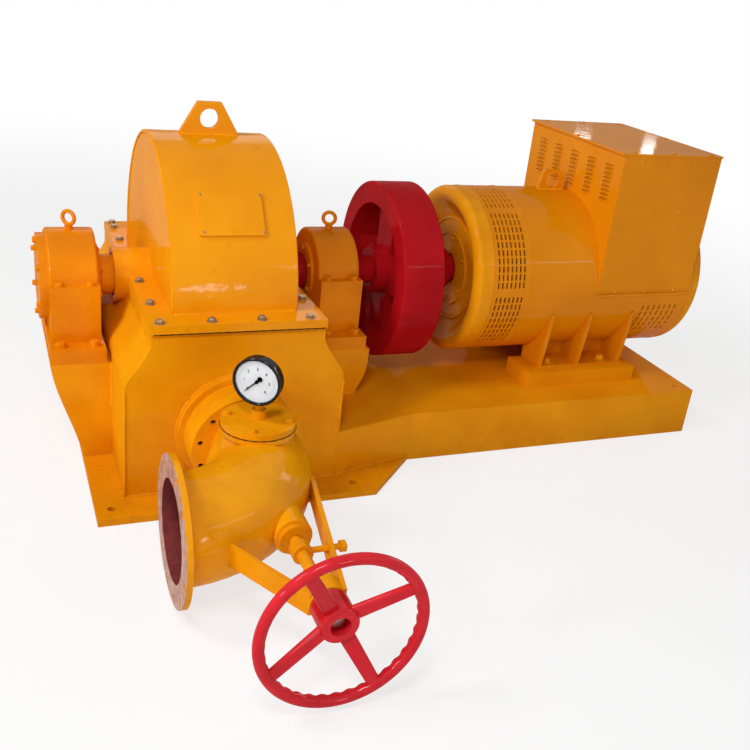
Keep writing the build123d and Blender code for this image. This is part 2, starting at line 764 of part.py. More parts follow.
with BuildPart() as guide_rod:
    with Locations(Location((82, guide_y, valve_z), (0, 90, 0))):
        Cylinder(guide_r, 104)
    with Locations(Location((122, guide_y, valve_z), (0, 90, 0))):
        Cylinder(17, 16)
    with Locations(Location((0, guide_y, valve_z), (90, 0, 0))):
        Cylinder(30, 60, mode=Mode.SUBTRACT)
guide_rod.part.label = "guide_rod"
export_step(guide_rod.part, "parts/guide_rod.step")

# Main shaft with sleeves, flywheel and coupling
shaft_x0 = -bearing_x - bearing_half_w + 2
shaft_x1 = gen_x0 - 5
with BuildPart() as main_shaft:
    with Locations(Location(((shaft_x0 + shaft_x1) / 2, 0, axis_z), (0, 90, 0))):
        Cylinder(shaft_r, shaft_x1 - shaft_x0)
main_shaft.part.label = "main_shaft"
export_step(main_shaft.part, "parts/main_shaft.step")

sleeve_x0 = hood_half_x + 20
sleeve_x1 = bearing_x - bearing_half_w - open_cover_t - 6
with BuildPart() as shaft_sleeves:
    for side in (-1, 1):
        with Locations(Location((side * (sleeve_x1 + sleeve_x0) / 2, 0, axis_z), (0, 90, 0))):
            Cylinder(sleeve_r, sleeve_x1 - sleeve_x0)
            Cylinder(shaft_r, sleeve_x1 - sleeve_x0, mode=Mode.SUBTRACT)
shaft_sleeves.part.label = "shaft_sleeves"
export_step(shaft_sleeves.part, "parts/shaft_sleeves.step")

shaft_line = Axis((0, 0, axis_z), (1, 0, 0))
web_x0 = (wheel_x0 + wheel_x1 - fly_web_t) / 2
web_x1 = web_x0 + fly_web_t
with BuildPart() as flywheel:
    with BuildSketch(Plane.XZ):
        with BuildLine():
            Polyline(
                (wheel_x0 - 4, axis_z + shaft_r),
                (wheel_x0 - 4, axis_z + fly_hub_r),
                (web_x0, axis_z + fly_hub_r + 6),
                (web_x0, axis_z + fly_in_r - 6),
                (wheel_x0, axis_z + fly_in_r),
                (wheel_x0, axis_z + fly_r),
                (wheel_x1, axis_z + fly_r),
                (wheel_x1, axis_z + fly_in_r),
                (web_x1, axis_z + fly_in_r - 6),
                (web_x1, axis_z + fly_hub_r + 6),
                (wheel_x1 + 4, axis_z + fly_hub_r),
                (wheel_x1 + 4, axis_z + shaft_r),
                close=True,
            )
        make_face()
    revolve(axis=shaft_line)
    with BuildSketch(Plane.YZ.offset(web_x0 - 5)):
        with Locations((0, axis_z)):
            Circle(fly_in_r - 10)
            Circle(fly_hub_r + 14, mode=Mode.SUBTRACT)
            Rectangle(2 * fly_r, spoke_w, mode=Mode.SUBTRACT)
            Rectangle(spoke_w, 2 * fly_r, mode=Mode.SUBTRACT)
    extrude(amount=fly_web_t + 10, mode=Mode.SUBTRACT)
    outer = flywheel.edges().filter_by(GeomType.CIRCLE).filter_by(lambda e: abs(e.radius - fly_r) < 0.5)
    fillet(outer, radius=6)
flywheel.part.label = "flywheel"
export_step(flywheel.part, "parts/flywheel.step")

coupling_mid = (coupling_x0 + coupling_x1) / 2
with BuildPart() as coupling:
    with BuildSketch(Plane.XZ):
        with BuildLine():
            Polyline(
                (coupling_x0, axis_z + shaft_r),
                (coupling_x0, axis_z + coupling_r),
                (coupling_mid - 3, axis_z + coupling_r),
                (coupling_mid - 3, axis_z + coupling_r - 14),
                (coupling_mid + 3, axis_z + coupling_r - 14),
                (coupling_mid + 3, axis_z + coupling_r),
                (coupling_x1, axis_z + coupling_r),
                (coupling_x1, axis_z + shaft_r),
                close=True,
            )
        make_face()
    revolve(axis=shaft_line)
coupling.part.label = "coupling"
export_step(coupling.part, "parts/coupling.step")

# Generator: dished drive-end bell with two raised rings round the shaft
bell_bore = shaft_r + air_gap
with BuildPart() as gen_bell:
    with BuildSketch(Plane.XZ):
        with BuildLine():
            Polyline(
                (gen_x0, axis_z + bell_bore),
                (gen_x0 - 26, axis_z + bell_bore),
                (gen_x0 - 26, axis_z + 0.421 * gen_r),
                (gen_x0 - 32, axis_z + 0.421 * gen_r),
                (gen_x0 - 32, axis_z + 0.447 * gen_r),
                (gen_x0 - 21, axis_z + 0.447 * gen_r),
                (gen_x0 - 21, axis_z + 0.600 * gen_r),
                (gen_x0 - 26, axis_z + 0.600 * gen_r),
                (gen_x0 - 26, axis_z + 0.629 * gen_r),
                (gen_x0 - 16, axis_z + 0.629 * gen_r),
            )
            Spline(
                (gen_x0 - 16, axis_z + 0.629 * gen_r),
                (gen_x0 - 48, axis_z + 0.779 * gen_r),
                (bell_x0, axis_z + gen_r - 32),
                (bell_x0 + 24, axis_z + gen_r),
                tangents=[(-0.5, 1), (1, 0.25)],
            )
            Line((bell_x0 + 24, axis_z + gen_r), (gen_x0, axis_z + gen_r))
            Line((gen_x0, axis_z + gen_r), (gen_x0, axis_z + bell_bore))
        make_face()
    revolve(axis=shaft_line)
gen_bell.part.label = "gen_bell"
export_step(gen_bell.part, "parts/gen_bell.step")

# Generator barrel: rolled shell with groups of cooling slots near both ends
slot_w = 8.0
slot_len = 24.0
slot_step = 5.4          # degrees between rows
slot_groups = (
    (gen_x0 + 25, 19.0, 6.0, 10),
    (gen_x0 + 25, 19.0, 64.0, 5),
    (gen_x0 + 25, 19.0, -42.0, 8),
    (gen_x1 - 228, 28.0, -36.0, 5),
)
slot_spots = []
for first_x, pitch, first_a, rows in slot_groups:
    for row in range(rows):
        rise = first_a + row * slot_step
        for theta in (180 - rise, rise):
            t = math.radians(theta)
            for col in range(7):
                place = (first_x + col * pitch, gen_r * math.cos(t), axis_z + gen_r * math.sin(t))
                slot_spots.append(Location(place, (theta - 90, 0, 0)))
with BuildPart() as gen_barrel:
    with BuildSketch(Plane.YZ.offset(gen_x0)):
        with Locations((0, axis_z)):
            Circle(gen_r)
            Circle(gen_r - gen_wall, mode=Mode.SUBTRACT)
    extrude(amount=gen_x1 - gen_x0)
    with Locations(*slot_spots):
        Box(slot_w, slot_len, 40, mode=Mode.SUBTRACT)
gen_barrel.part.label = "gen_barrel"
export_step(gen_barrel.part, "parts/gen_barrel.step")

# Stator core that shows through the slots
with BuildPart() as stator_core:
    core_x0 = gen_x0 + 170
    core_x1 = gen_x1 - 250
    for x0, x1, r in (
        (gen_x0, core_x0, gen_r - 90),
        (core_x0, core_x1, gen_r - gen_wall),
        (core_x1, gen_x1, gen_r - 90),
    ):
        with Locations(Location(((x0 + x1) / 2, 0, axis_z), (0, 90, 0))):
            Cylinder(r, x1 - x0)
stator_core.part.label = "stator_core"
export_step(stator_core.part, "parts/stator_core.step")

# Rear cover of the generator
with BuildPart() as rear_cover:
    with Locations(Location(((gen_x1 + rear_x1) / 2, 0, axis_z), (0, 90, 0))):
        Cylinder(gen_r, rear_x1 - gen_x1)
    fillet(rear_cover.faces().sort_by(Axis.X)[-1].edges(), radius=18)
rear_cover.part.label = "rear_cover"
export_step(rear_cover.part, "parts/rear_cover.step")

# Terminal housing: a sheet box standing over the rear of the barrel, louvred at its left end
with BuildPart() as terminal_box:
    with Locations(((box_x0 + box_x1) / 2, 0, (axis_z + box_top) / 2)):
        Box(box_x1 - box_x0, 2 * (gen_r + box_t), box_top - axis_z)
    with Locations(Location(((box_x0 + box_x1) / 2, 0, axis_z), (0, 90, 0))):
        Cylinder(gen_r + 0.5, box_x1 - box_x0, mode=Mode.SUBTRACT)
    with Locations(((box_x0 + box_x1) / 2, 0, (axis_z + box_top) / 2)):
        Box(box_x1 - box_x0 - 2 * box_t, 2 * gen_r, box_top - axis_z, mode=Mode.SUBTRACT)
    louvre_spots = []
    for col_y in (gen_r - 95 - 125 * col for col in range(5)):
        for row in range(9):
            louvre_spots.append((box_x0, col_y, box_top - 58 - row * 17))
    with Locations(*louvre_spots):
        Box(4 * box_t, 55, 5, mode=Mode.SUBTRACT)
terminal_box.part.label = "terminal_box"
export_step(terminal_box.part, "parts/terminal_box.step")

with BuildPart() as terminal_lid:
    lid_x0 = box_x0 - 13
    lid_x1 = box_x1 + 1
    with Locations(((lid_x0 + lid_x1) / 2, 0, box_top + 4)):
        Box(lid_x1 - lid_x0, 2 * gen_r + 20, 8)
terminal_lid.part.label = "terminal_lid"
export_step(terminal_lid.part, "parts/terminal_lid.step")

# Feet of the generator on their packing pads
pad_x0 = gen_foot_x - 280
pad_x1 = gen_foot_x + 250
with BuildPart() as gen_pads:
    for side in (-1, 1):
        with Locations(((pad_x0 + pad_x1) / 2, side * (pad_front - pad_w / 2), (base_h + pad_top) / 2)):
            Box(pad_x1 - pad_x0, pad_w, pad_top - base_h)
gen_pads.part.label = "gen_pads"
export_step(gen_pads.part, "parts/gen_pads.step")

foot_y = pad_front - 40 - gen_foot_w / 2
foot_top = pad_top + gen_foot_t
with BuildPart() as gen_feet:
    for side in (-1, 1):
        with Locations((gen_foot_x, side * foot_y, pad_top + gen_foot_t / 2)):
            Box(420, gen_foot_w, gen_foot_t)
        for gx in (gen_foot_x - 207, gen_foot_x - 22, gen_foot_x + 188):
            with BuildSketch(Plane.YZ.offset(gx - 8)):
                with BuildLine():
                    Polyline(
                        (side * (foot_y - 65), foot_top),
                        (side * (foot_y + 73), foot_top),
                        (side * 0.971 * gen_r, axis_z - 0.297 * gen_r),
                        (side * 0.412 * gen_r, axis_z - 0.638 * gen_r),
                        close=True,
                    )
                make_face()
            extrude(amount=16)
        web_top = axis_z - 0.756 * gen_r
        with Locations((gen_foot_x, side * (foot_y - 60), (pad_top + web_top) / 2)):
            Box(414, 14, web_top - pad_top)
    with Locations(Location((gen_foot_x, 0, axis_z), (0, 90, 0))):
        Cylinder(gen_r, 700, mode=Mode.SUBTRACT)
gen_feet.part.label = "gen_feet"
export_step(gen_feet.part, "parts/gen_feet.step")

# Lifting lug on the barrel
gen_top = axis_z + gen_r
with BuildPart() as gen_lug:
    with BuildSketch(Plane.XZ) as gen_lug_face:
        with BuildLine():
            Polyline(
                (gen_lug_x - 62, gen_top - 17),
                (gen_lug_x + 63, gen_top - 17),
                (gen_lug_x + 63, gen_top + 5),
                (gen_lug_x + 42, gen_top + 82),
                (gen_lug_x - 41, gen_top + 82),
                (gen_lug_x - 62, gen_top + 5),
                close=True,
            )
        make_face()
        fillet(gen_lug_face.vertices().sort_by(Axis.Y)[-2:], 18)
        with Locations((gen_lug_x, gen_top + 38)):
            Circle(gen_lug_hole_r, mode=Mode.SUBTRACT)
    extrude(amount=gen_lug_t / 2, both=True)
    with Locations(Location((gen_lug_x, 0, axis_z), (0, 90, 0))):
        Cylinder(gen_r, 300, mode=Mode.SUBTRACT)
gen_lug.part.label = "gen_lug"
export_step(gen_lug.part, "parts/gen_lug.step")
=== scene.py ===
import math
import bmesh
import bpy
import numpy as np
from mathutils import Matrix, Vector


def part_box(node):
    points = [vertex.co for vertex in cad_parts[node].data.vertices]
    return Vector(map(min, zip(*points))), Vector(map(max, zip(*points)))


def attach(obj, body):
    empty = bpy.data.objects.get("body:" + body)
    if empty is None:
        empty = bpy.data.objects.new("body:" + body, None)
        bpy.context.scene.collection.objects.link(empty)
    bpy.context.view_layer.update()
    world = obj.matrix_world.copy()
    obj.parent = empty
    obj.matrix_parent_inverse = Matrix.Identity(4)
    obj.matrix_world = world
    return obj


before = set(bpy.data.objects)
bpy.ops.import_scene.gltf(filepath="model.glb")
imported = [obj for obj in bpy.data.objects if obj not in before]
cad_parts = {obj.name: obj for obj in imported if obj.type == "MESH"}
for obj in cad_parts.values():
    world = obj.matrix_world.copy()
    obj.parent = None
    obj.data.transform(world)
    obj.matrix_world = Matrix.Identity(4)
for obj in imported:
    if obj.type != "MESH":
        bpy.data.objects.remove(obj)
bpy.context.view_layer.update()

# Foot, base frame and lower case: steel plate cut and welded, then brushed with
# yellow-orange machine enamel. The film pools and thins, so the tone drifts over a
# hand's breadth, and splashes from the floor dull the lowest part.


def linear(code):
    """sRGB hex to linear light: below 0.04045 divide by 12.92, above it the 2.4 power."""
    c = np.array([int(code[i:i + 2], 16) for i in (1, 3, 5)]) / 255.0
    c = np.where(c <= 0.04045, c / 12.92, ((c + 0.055) / 1.055) ** 2.4)
    return (float(c[0]), float(c[1]), float(c[2]), 1.0)


def put(tree, kind, values=None, links=None, **settings):
    """Adds one node, sets its options and input values, and links outputs to its inputs."""
    node = tree.nodes.new(kind)
    for key, value in settings.items():
        setattr(node, key, value)
    for key, value in (values or {}).items():
        node.inputs[key].default_value = value
    for key, output in (links or {}).items():
        tree.links.new(output, node.inputs[key])
    return node


def enamel(name, full, thin, grime, patch_mm, peel_mm, peel_deep_mm, rough=0.27, coat=0.18,
           sag_mm=0.42):
    """Brushed gloss enamel: two tones by a broad noise, grime by height and fine noise, the sag
    of the film as a wave a thumb wide and sag_mm deep, and on it the skin of dried paint with
    waves of length peel_mm. All gloss comes from the coat, which follows the sag alone."""
    speck_mm, sag_wave_mm, splash_top = 38.0, 42.0, 0.16
    paint = bpy.data.materials.new(name)
    paint.use_nodes = True
    tree = paint.node_tree
    skin = tree.nodes["Principled BSDF"]
    at = put(tree, "ShaderNodeTexCoord").outputs["Object"]
    patch = put(tree, "ShaderNodeTexNoise",
                {"Scale": 1000.0 / patch_mm, "Detail": 4.0, "Roughness": 0.55}, {"Vector": at})
    tone = put(tree, "ShaderNodeMapRange", {"From Min": 0.36, "From Max": 0.64},
               {"Value": patch.outputs[0]})
    body = put(tree, "ShaderNodeMix", {6: linear(thin), 7: linear(full)}, {0: tone.outputs[0]},
               data_type="RGBA")
    height = put(tree, "ShaderNodeSeparateXYZ", None, {0: at})
    low = put(tree, "ShaderNodeMapRange",
              {"From Min": 0.0, "From Max": splash_top, "To Min": 0.45, "To Max": 0.0},
              {"Value": height.outputs[2]})
    speck = put(tree, "ShaderNodeTexNoise",
                {"Scale": 1000.0 / speck_mm, "Detail": 6.0, "Roughness": 0.7}, {"Vector": at})
    spots = put(tree, "ShaderNodeMapRange", {"From Min": 0.62, "From Max": 0.80, "To Max": 0.35},
                {"Value": speck.outputs[0]})
    soil = put(tree, "ShaderNodeMath", None, {0: low.outputs[0], 1: speck.outputs[0]},
               operation="MULTIPLY")
    dirt = put(tree, "ShaderNodeMath", None, {0: soil.outputs[0], 1: spots.outputs[0]},
               operation="ADD", use_clamp=True)
    worn = put(tree, "ShaderNodeMix", {7: linear(grime)}, {0: dirt.outputs[0], 6: body.outputs[2]},
               data_type="RGBA")
    dull = put(tree, "ShaderNodeMapRange", {"From Min": 0.3, "From Max": 0.75,
               "To Min": rough - 0.07, "To Max": rough + 0.14}, {"Value": speck.outputs[0]})
    sag = put(tree, "ShaderNodeTexNoise", {"Scale": 1000.0 / sag_wave_mm, "Detail": 2.0},
              {"Vector": at})
    wavy = put(tree, "ShaderNodeBump", {"Strength": 1.0, "Distance": sag_mm / 1000.0},
               {"Height": sag.outputs[0]})
    peel = put(tree, "ShaderNodeTexNoise", {"Scale": 1000.0 / peel_mm, "Detail": 2.0},
               {"Vector": at})
    bump = put(tree, "ShaderNodeBump", {"Strength": 1.0, "Distance": peel_deep_mm / 1000.0},
               {"Height": peel.outputs[0], "Normal": wavy.outputs[0]})
    tree.links.new(worn.outputs[2], skin.inputs["Base Color"])
    tree.links.new(dull.outputs[0], skin.inputs["Roughness"])
    tree.links.new(bump.outputs[0], skin.inputs["Normal"])
    tree.links.new(wavy.outputs[0], skin.inputs["Coat Normal"])
    skin.inputs["IOR"].default_value = 1.5
    skin.inputs["Specular IOR Level"].default_value = 0.0
    skin.inputs["Coat Weight"].default_value = coat
    skin.inputs["Coat Roughness"].default_value = 0.06
    return paint


def dress(material, *names):
    """Gives CAD nodes one finish by their material slots."""
    for name in names:
        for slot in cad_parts[name].material_slots:
            slot.material = material


# Alkyd enamel from the brush: a warm yellow-orange with a quiet, slightly wavy gloss.
plate_enamel = enamel("yellow_alkyd_enamel_brushed_on_plate", "#F09D0D", "#E58F08", "#8A4A08",
                      patch_mm=260, peel_mm=9, peel_deep_mm=0.10, rough=0.27, coat=0.10)
dress(plate_enamel, "foot_plates", "foot_strips", "base_top_plate", "base_rails", "base_wings",
      "base_end_plate", "case_front_plate", "case_back_plate", "case_sides", "bracket_left",
      "bracket_right", "gen_pads")

# Welds: steel fillets laid by hand where the plates meet, painted over with the same
# enamel. Each is a rope of overlapping puddles about as wide as a finger nail.


def new_piece(name, data):
    """An object for a mesh, a lamp or a camera, linked to the scene at the origin."""
    piece = bpy.data.objects.new(name, data)
    bpy.context.scene.collection.objects.link(piece)
    return piece


def shell(name, points, material, body, wrap=True, crease=38):
    """Skins grids of points[copy, i, j] with four-sided faces; wrap closes the grid along i, and
    edges that turn by more than crease degrees stay sharp."""
    copies, rows, cols = points.shape[:3]
    i, j = np.meshgrid(np.arange(rows if wrap else rows - 1), np.arange(cols - 1), indexing="ij")
    k = (i + 1) % rows
    quad = np.stack([i * cols + j, k * cols + j, k * cols + j + 1, i * cols + j + 1], -1)
    quads = np.arange(copies)[:, None, None] * rows * cols + quad.reshape(-1, 4)
    mesh = bpy.data.meshes.new(name)
    mesh.from_pydata(points.reshape(-1, 3).tolist(), [], quads.reshape(-1, 4).tolist())
    mend = bmesh.new()
    mend.from_mesh(mesh)
    bmesh.ops.remove_doubles(mend, verts=mend.verts, dist=2e-6)
    bmesh.ops.dissolve_degenerate(mend, edges=mend.edges, dist=1e-7)
    bmesh.ops.recalc_face_normals(mend, faces=mend.faces)
    mend.to_mesh(mesh)
    mend.free()
    mesh.shade_smooth()
    mesh.set_sharp_from_angle(angle=math.radians(crease))
    mesh.materials.append(material)
    piece = new_piece(name, mesh)
    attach(piece, body)
    return piece


def across(axis):
    """Two unit directions at right angles to each axis, from cross products with a fixed one."""
    axis = np.asarray(axis, float)
    helper = np.where(np.abs(axis[..., 2:3]) > 0.8, [1.0, 0.0, 0.0], [0.0, 0.0, 1.0])
    e1 = np.cross(helper, axis)
    e1 /= np.linalg.norm(e1, axis=-1, keepdims=True)
    return e1, np.cross(axis, e1)


def ropes(name, paths, radius, pitch, material=plate_enamel):
    """A round rope along each path: the radius swells and sinks once every pitch of run length
    and falls to nothing at both ends."""
    paths = np.asarray(paths, float)
    step = np.linalg.norm(np.diff(paths, axis=1), axis=2)
    run = np.concatenate([np.zeros((len(paths), 1)), np.cumsum(step, 1)], 1)
    tangent = np.gradient(paths, axis=1)
    tangent /= np.linalg.norm(tangent, axis=2, keepdims=True)
    e1, e2 = across(tangent)
    swell = radius * (1 + 0.14 * np.cos(2 * np.pi * run / pitch))
    ends = np.minimum(run, run[:, -1:] - run) / (1.5 * radius)
    swell = swell * np.sqrt(np.clip(ends, 0, 1))
    turn = np.linspace(0, 2 * np.pi, 9)
    ring = np.cos(turn)[:, None] * e1[:, :, None] + np.sin(turn)[:, None] * e2[:, :, None]
    points = paths[:, :, None] + swell[:, :, None, None] * ring
    return shell(name, points, material, "frame", wrap=False, crease=60)


def straight(a, b, count):
    """Points spaced evenly from a to b."""
    return np.asarray(a) + np.linspace(0, 1, count)[:, None] * (np.asarray(b) - np.asarray(a))


case_low, case_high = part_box("case_front_plate")
knee_low, knee_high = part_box("bracket_right")
foot_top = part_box("foot_plates")[1].z
base_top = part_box("base_top_plate")[1].z
face_y, case_x, knee_y = case_low.y, case_high.x, knee_high.y
wing_x, wing_y = 0.70, 0.49
corner_top = 0.41
knee_end_x, knee_weld_low, knee_weld_high = 0.548, 0.21, 0.385
ropes("foot_welds", [
    straight((-case_x, face_y, foot_top), (case_x, face_y, foot_top), 300),
    straight((-case_x, -face_y, foot_top), (case_x, -face_y, foot_top), 300),
    straight((case_x, face_y, foot_top), (wing_x, -wing_y, foot_top), 300),
    straight((case_x, -face_y, foot_top), (wing_x, wing_y, foot_top), 300),
], radius=0.0065, pitch=0.011)
ropes("case_corner_welds", [
    straight((sx * case_x, sy * -face_y, foot_top), (sx * case_x, sy * -face_y, corner_top), 130)
    for sx in (-1, 1) for sy in (-1, 1)
], radius=0.005, pitch=0.010)
ropes("bracket_welds", [
    straight((knee_low.x, sy * knee_y, base_top), (knee_end_x, sy * knee_y, base_top), 60)
    for sy in (-1, 1)
] + [
    straight((sx * case_x, sy * knee_y, knee_weld_low), (sx * case_x, sy * knee_y, knee_weld_high),
             60)
    for sx in (-1, 1) for sy in (-1, 1)
], radius=0.006, pitch=0.010)

# Hood flange bolts: hexagon heads of zinc-plated steel on round washers, put in after the
# paint. They are bare, and browned by old zinc and oil.


def hex_heads(name, seats, axes, flats, high, washer, material, body="frame"):
    """A hexagon on a washer at each seat: the radius is half the flats over the cosine of the angle
    to the nearest flat's middle, and a circle at the washer and at the chamfered top."""
    seats = np.asarray(seats, float)
    axes = np.broadcast_to(np.asarray(axes, float), seats.shape)
    turn = np.linspace(0, 2 * np.pi, 24, endpoint=False)
    hexed = flats / 2 / np.cos((turn + np.pi / 6) % (np.pi / 3) - np.pi / 6)
    ring = np.ones(24)
    base = 0.18 * high
    radii = np.stack([washer * ring, washer * ring, 0.96 * washer * ring, hexed, hexed,
                      0.94 * flats / 2 * ring, 0.55 * flats / 2 * ring, 0 * ring], 1)
    rise = np.array([-0.001, 0.75 * base, base, base, base + 0.82 * high,
                     base + high, base + 0.97 * high, base + 0.97 * high])
    spin = np.random.default_rng(len(seats) + 3).uniform(0, np.pi / 3, len(seats))
    e1, e2 = across(axes)
    angle = turn[None, :] + spin[:, None]
    ray = np.cos(angle)[..., None] * e1[:, None] + np.sin(angle)[..., None] * e2[:, None]
    points = (seats[:, None, None] + radii[None, :, :, None] * ray[:, :, None]
              + rise[:, None] * axes[:, None, None])
    return shell(name, points, material, body, crease=25)


# Zinc plate gone brown: blotches a bolt head wide, half way between metal and stain.
brown_zinc = bpy.data.materials.new("zinc_plated_bolt_steel_browned")
brown_zinc.use_nodes = True
tree = brown_zinc.node_tree
metal = tree.nodes["Principled BSDF"]
at = put(tree, "ShaderNodeTexCoord").outputs["Object"]
stain_mm = 14.0
stain = put(tree, "ShaderNodeTexNoise", {"Scale": 1000.0 / stain_mm, "Detail": 5.0}, {"Vector": at})
tint = put(tree, "ShaderNodeMix", {6: linear("#7A6048"), 7: linear("#B49A78")},
           {0: stain.outputs[0]}, data_type="RGBA")
matt = put(tree, "ShaderNodeMapRange", {"To Min": 0.35, "To Max": 0.6}, {"Value": stain.outputs[0]})
tree.links.new(tint.outputs[2], metal.inputs["Base Color"])
tree.links.new(matt.outputs[0], metal.inputs["Roughness"])
metal.inputs["Metallic"].default_value = 0.7

flange_low, flange_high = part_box("hood_flange_bars")
front_y, side_x = 0.566, 0.265
front_row = [(x, s * front_y, flange_high.z)
             for x in (-0.264, -0.097, 0.070, 0.237) for s in (-1, 1)]
side_row = [(s * side_x, y, flange_high.z)
            for y in (-0.390, -0.165, 0.165, 0.330, 0.500) for s in (-1, 1)]
hex_heads("hood_flange_bolts", front_row + side_row, (0, 0, 1), flats=0.024, high=0.011,
          washer=0.017, material=brown_zinc)

# Bearings and seal boxes: split pedestals of sand-cast iron, bolted down on the knee
# brackets. Caps and round covers are held by hexagon bolts, and the bolts were painted
# over with the castings.


def rays(axis, turn):
    """Unit directions at the angles turn round one axis of the frame: nothing along that axis, and
    the cosine and the sine along the other two in their order."""
    parts = [np.cos(turn), np.sin(turn)]
    parts.insert("xyz".index(axis), 0 * turn)
    return np.stack(parts, 1)


# Enamel over a sand casting: the same yellow with a coarser skin and a broken gloss.
cast_enamel = enamel("yellow_enamel_over_sand_cast_iron", "#F09E0E", "#E28E08", "#7E4208",
                     patch_mm=150, peel_mm=6, peel_deep_mm=0.18, rough=0.30, coat=0.13, sag_mm=0.8)
# Painted shade: the same enamel made darker and more orange, so the bearings look less lit than the
# plates.
bearing_shaded_enamel = enamel("orange_enamel_over_bearing_castings_painted_shade", "#EB8C07", "#DD7E05", "#7E4208",
                        patch_mm=150, peel_mm=6, peel_deep_mm=0.18, rough=0.30, coat=0.13,
                        sag_mm=0.8)
dress(cast_enamel, "seal_boxes")
# The bearings and their bolts take the darker copy of the enamel, which is painted shade.
dress(bearing_shaded_enamel, "bearing_bases", "bearing_caps", "bearing_covers", "bearing_eyes")
base_low, base_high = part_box("bearing_bases")
base_lip, bearing_half = 0.009, 0.083
bear_x = (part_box("bearing_caps")[1].x + base_high.x - base_lip) / 2 - bearing_half
lip_z = base_high.z + 0.023
foot_z = base_low.z + 0.052


def four_by_bearing(dx, y, z):
    """Seats before and behind each bearing, dx to either side of its middle."""
    return [(sx * bear_x + side, sy * y, z)
            for sx in (-1, 1) for sy in (-1, 1) for side in (-dx, dx)]


hex_heads("bearing_split_bolts", four_by_bearing(0.052, 0.187, lip_z), (0, 0, 1), flats=0.024,
          high=0.014, washer=0.0165, material=bearing_shaded_enamel)
hex_heads("bearing_foot_bolts", four_by_bearing(0.056, 0.240, foot_z), (0, 0, 1), flats=0.030,
          high=0.017, washer=0.021, material=bearing_shaded_enamel)
shaft_z = 0.617
end_bolt_r, inner_bolt_r, inner_x = 0.132, 0.094, 0.095
end_low, end_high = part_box("bearing_covers")
ring6 = rays("x", np.radians(np.arange(6) * 60 + 30))
hex_heads("end_cover_bolts", np.array([end_low.x, 0, shaft_z]) + end_bolt_r * ring6, (-1, 0, 0),
          flats=0.019, high=0.010, washer=0.013, material=bearing_shaded_enamel)
inner_seats = np.concatenate([np.array([x, 0, shaft_z]) + inner_bolt_r * ring6
                              for x in (-bear_x + inner_x, bear_x - inner_x, end_high.x)])
inner_axes = np.repeat([[1.0, 0, 0], [-1.0, 0, 0], [1.0, 0, 0]], 6, 0)
hex_heads("inner_cover_bolts", inner_seats, inner_axes, flats=0.013, high=0.007, washer=0.009,
          material=bearing_shaded_enamel)

# Hood: rolled sheet between flat ends, welded round, with a lifting lug and a blank plate.
# It stands on a bolted flange, with a dark jointing sheet pressed out of the joint.
# Enamel on smooth sheet: broad even tone and a clear gloss.
sheet_enamel = enamel("yellow_enamel_on_rolled_sheet", "#F29C0C", "#E88F06", "#8A4A08",
                      patch_mm=420, peel_mm=12, peel_deep_mm=0.06, rough=0.25)
dress(sheet_enamel, "hood_ends", "hood_flange_bars", "hood_side_bars", "hood_lug", "blank_plate")
# The same enamel laid on thick: deep sags that make the reflections swim on the round.
hood_enamel = enamel("yellow_enamel_brushed_on_hood", "#F29C0C", "#E88F06", "#8A4A08",
                     patch_mm=420, peel_mm=12, peel_deep_mm=0.06, rough=0.25, coat=0.18, sag_mm=1.5)
dress(hood_enamel, "hood_arch")
arch_low, arch_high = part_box("hood_arch")
lug_low, lug_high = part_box("hood_lug")
plate_low, plate_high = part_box("blank_plate")
hood_z, hood_foot_y, lug_weld_z = 0.634, 0.5, 1.1335
end_weld_r, plate_side_r, plate_edge_r, plate_face_r = 0.4915, 0.502, 0.501, 0.5095
arc = rays("x", np.radians(np.linspace(1.5, 178.5, 420)))
ropes("hood_end_welds", [np.array([x, 0, hood_z]) + end_weld_r * arc
                         for x in (arch_low.x, arch_high.x)], radius=0.0045, pitch=0.010)
ropes("hood_foot_welds", [
    straight((arch_low.x, s * hood_foot_y, flange_high.z),
             (arch_high.x, s * hood_foot_y, flange_high.z), 130) for s in (-1, 1)
], radius=0.006, pitch=0.011)
ropes("hood_lug_welds", [
    straight((lug_low.x, s * lug_high.y, lug_weld_z), (lug_high.x, s * lug_high.y, lug_weld_z), 70)
    for s in (-1, 1)
], radius=0.006, pitch=0.010)
edge = rays("x", np.radians(np.linspace(149.5, 132.0, 60)))
ropes("plate_side_welds", [np.array([x, 0, hood_z]) + plate_side_r * edge
                           for x in (plate_low.x, plate_high.x)], radius=0.004, pitch=0.009)
ropes("plate_edge_welds", [
    straight(np.array([plate_low.x, 0, hood_z]) + plate_edge_r * e,
             np.array([plate_high.x, 0, hood_z]) + plate_edge_r * e, 80)
    for e in (edge[0], edge[-1])
], radius=0.003, pitch=0.009)
# Rubbery jointing sheet: a dull dark brown line along the joint, without gloss.
gasket_rubber = enamel("dark_jointing_sheet", "#4A3418", "#332312", "#1C140C",
                       patch_mm=40, peel_mm=4, peel_deep_mm=0.1, rough=0.6, coat=0.0)
gasket_y, gasket_z, gasket_in = abs(flange_low.y) + 0.0004, flange_low.z + 0.001, 0.004
ropes("flange_gasket", [
    straight((flange_low.x + gasket_in, s * gasket_y, gasket_z),
             (flange_high.x - gasket_in, s * gasket_y, gasket_z), 120) for s in (-1, 1)
], radius=0.0019, pitch=0.030, material=gasket_rubber)
corners = rays("x", np.radians([148.2, 133.2]))
hex_heads("plate_screws", [np.array([x, 0, hood_z]) + plate_face_r * e
                           for x in (-0.1, 0.1) for e in corners],
          np.concatenate([corners, corners]), flats=0.0065, high=0.003, washer=0.0045,
          material=brown_zinc)

# Shaft, sleeves, flywheel and coupling: turned steel and iron, keyed on the shaft and brushed
# with dark red enamel. The sleeve left of the hood was caught by the yellow of the machine.


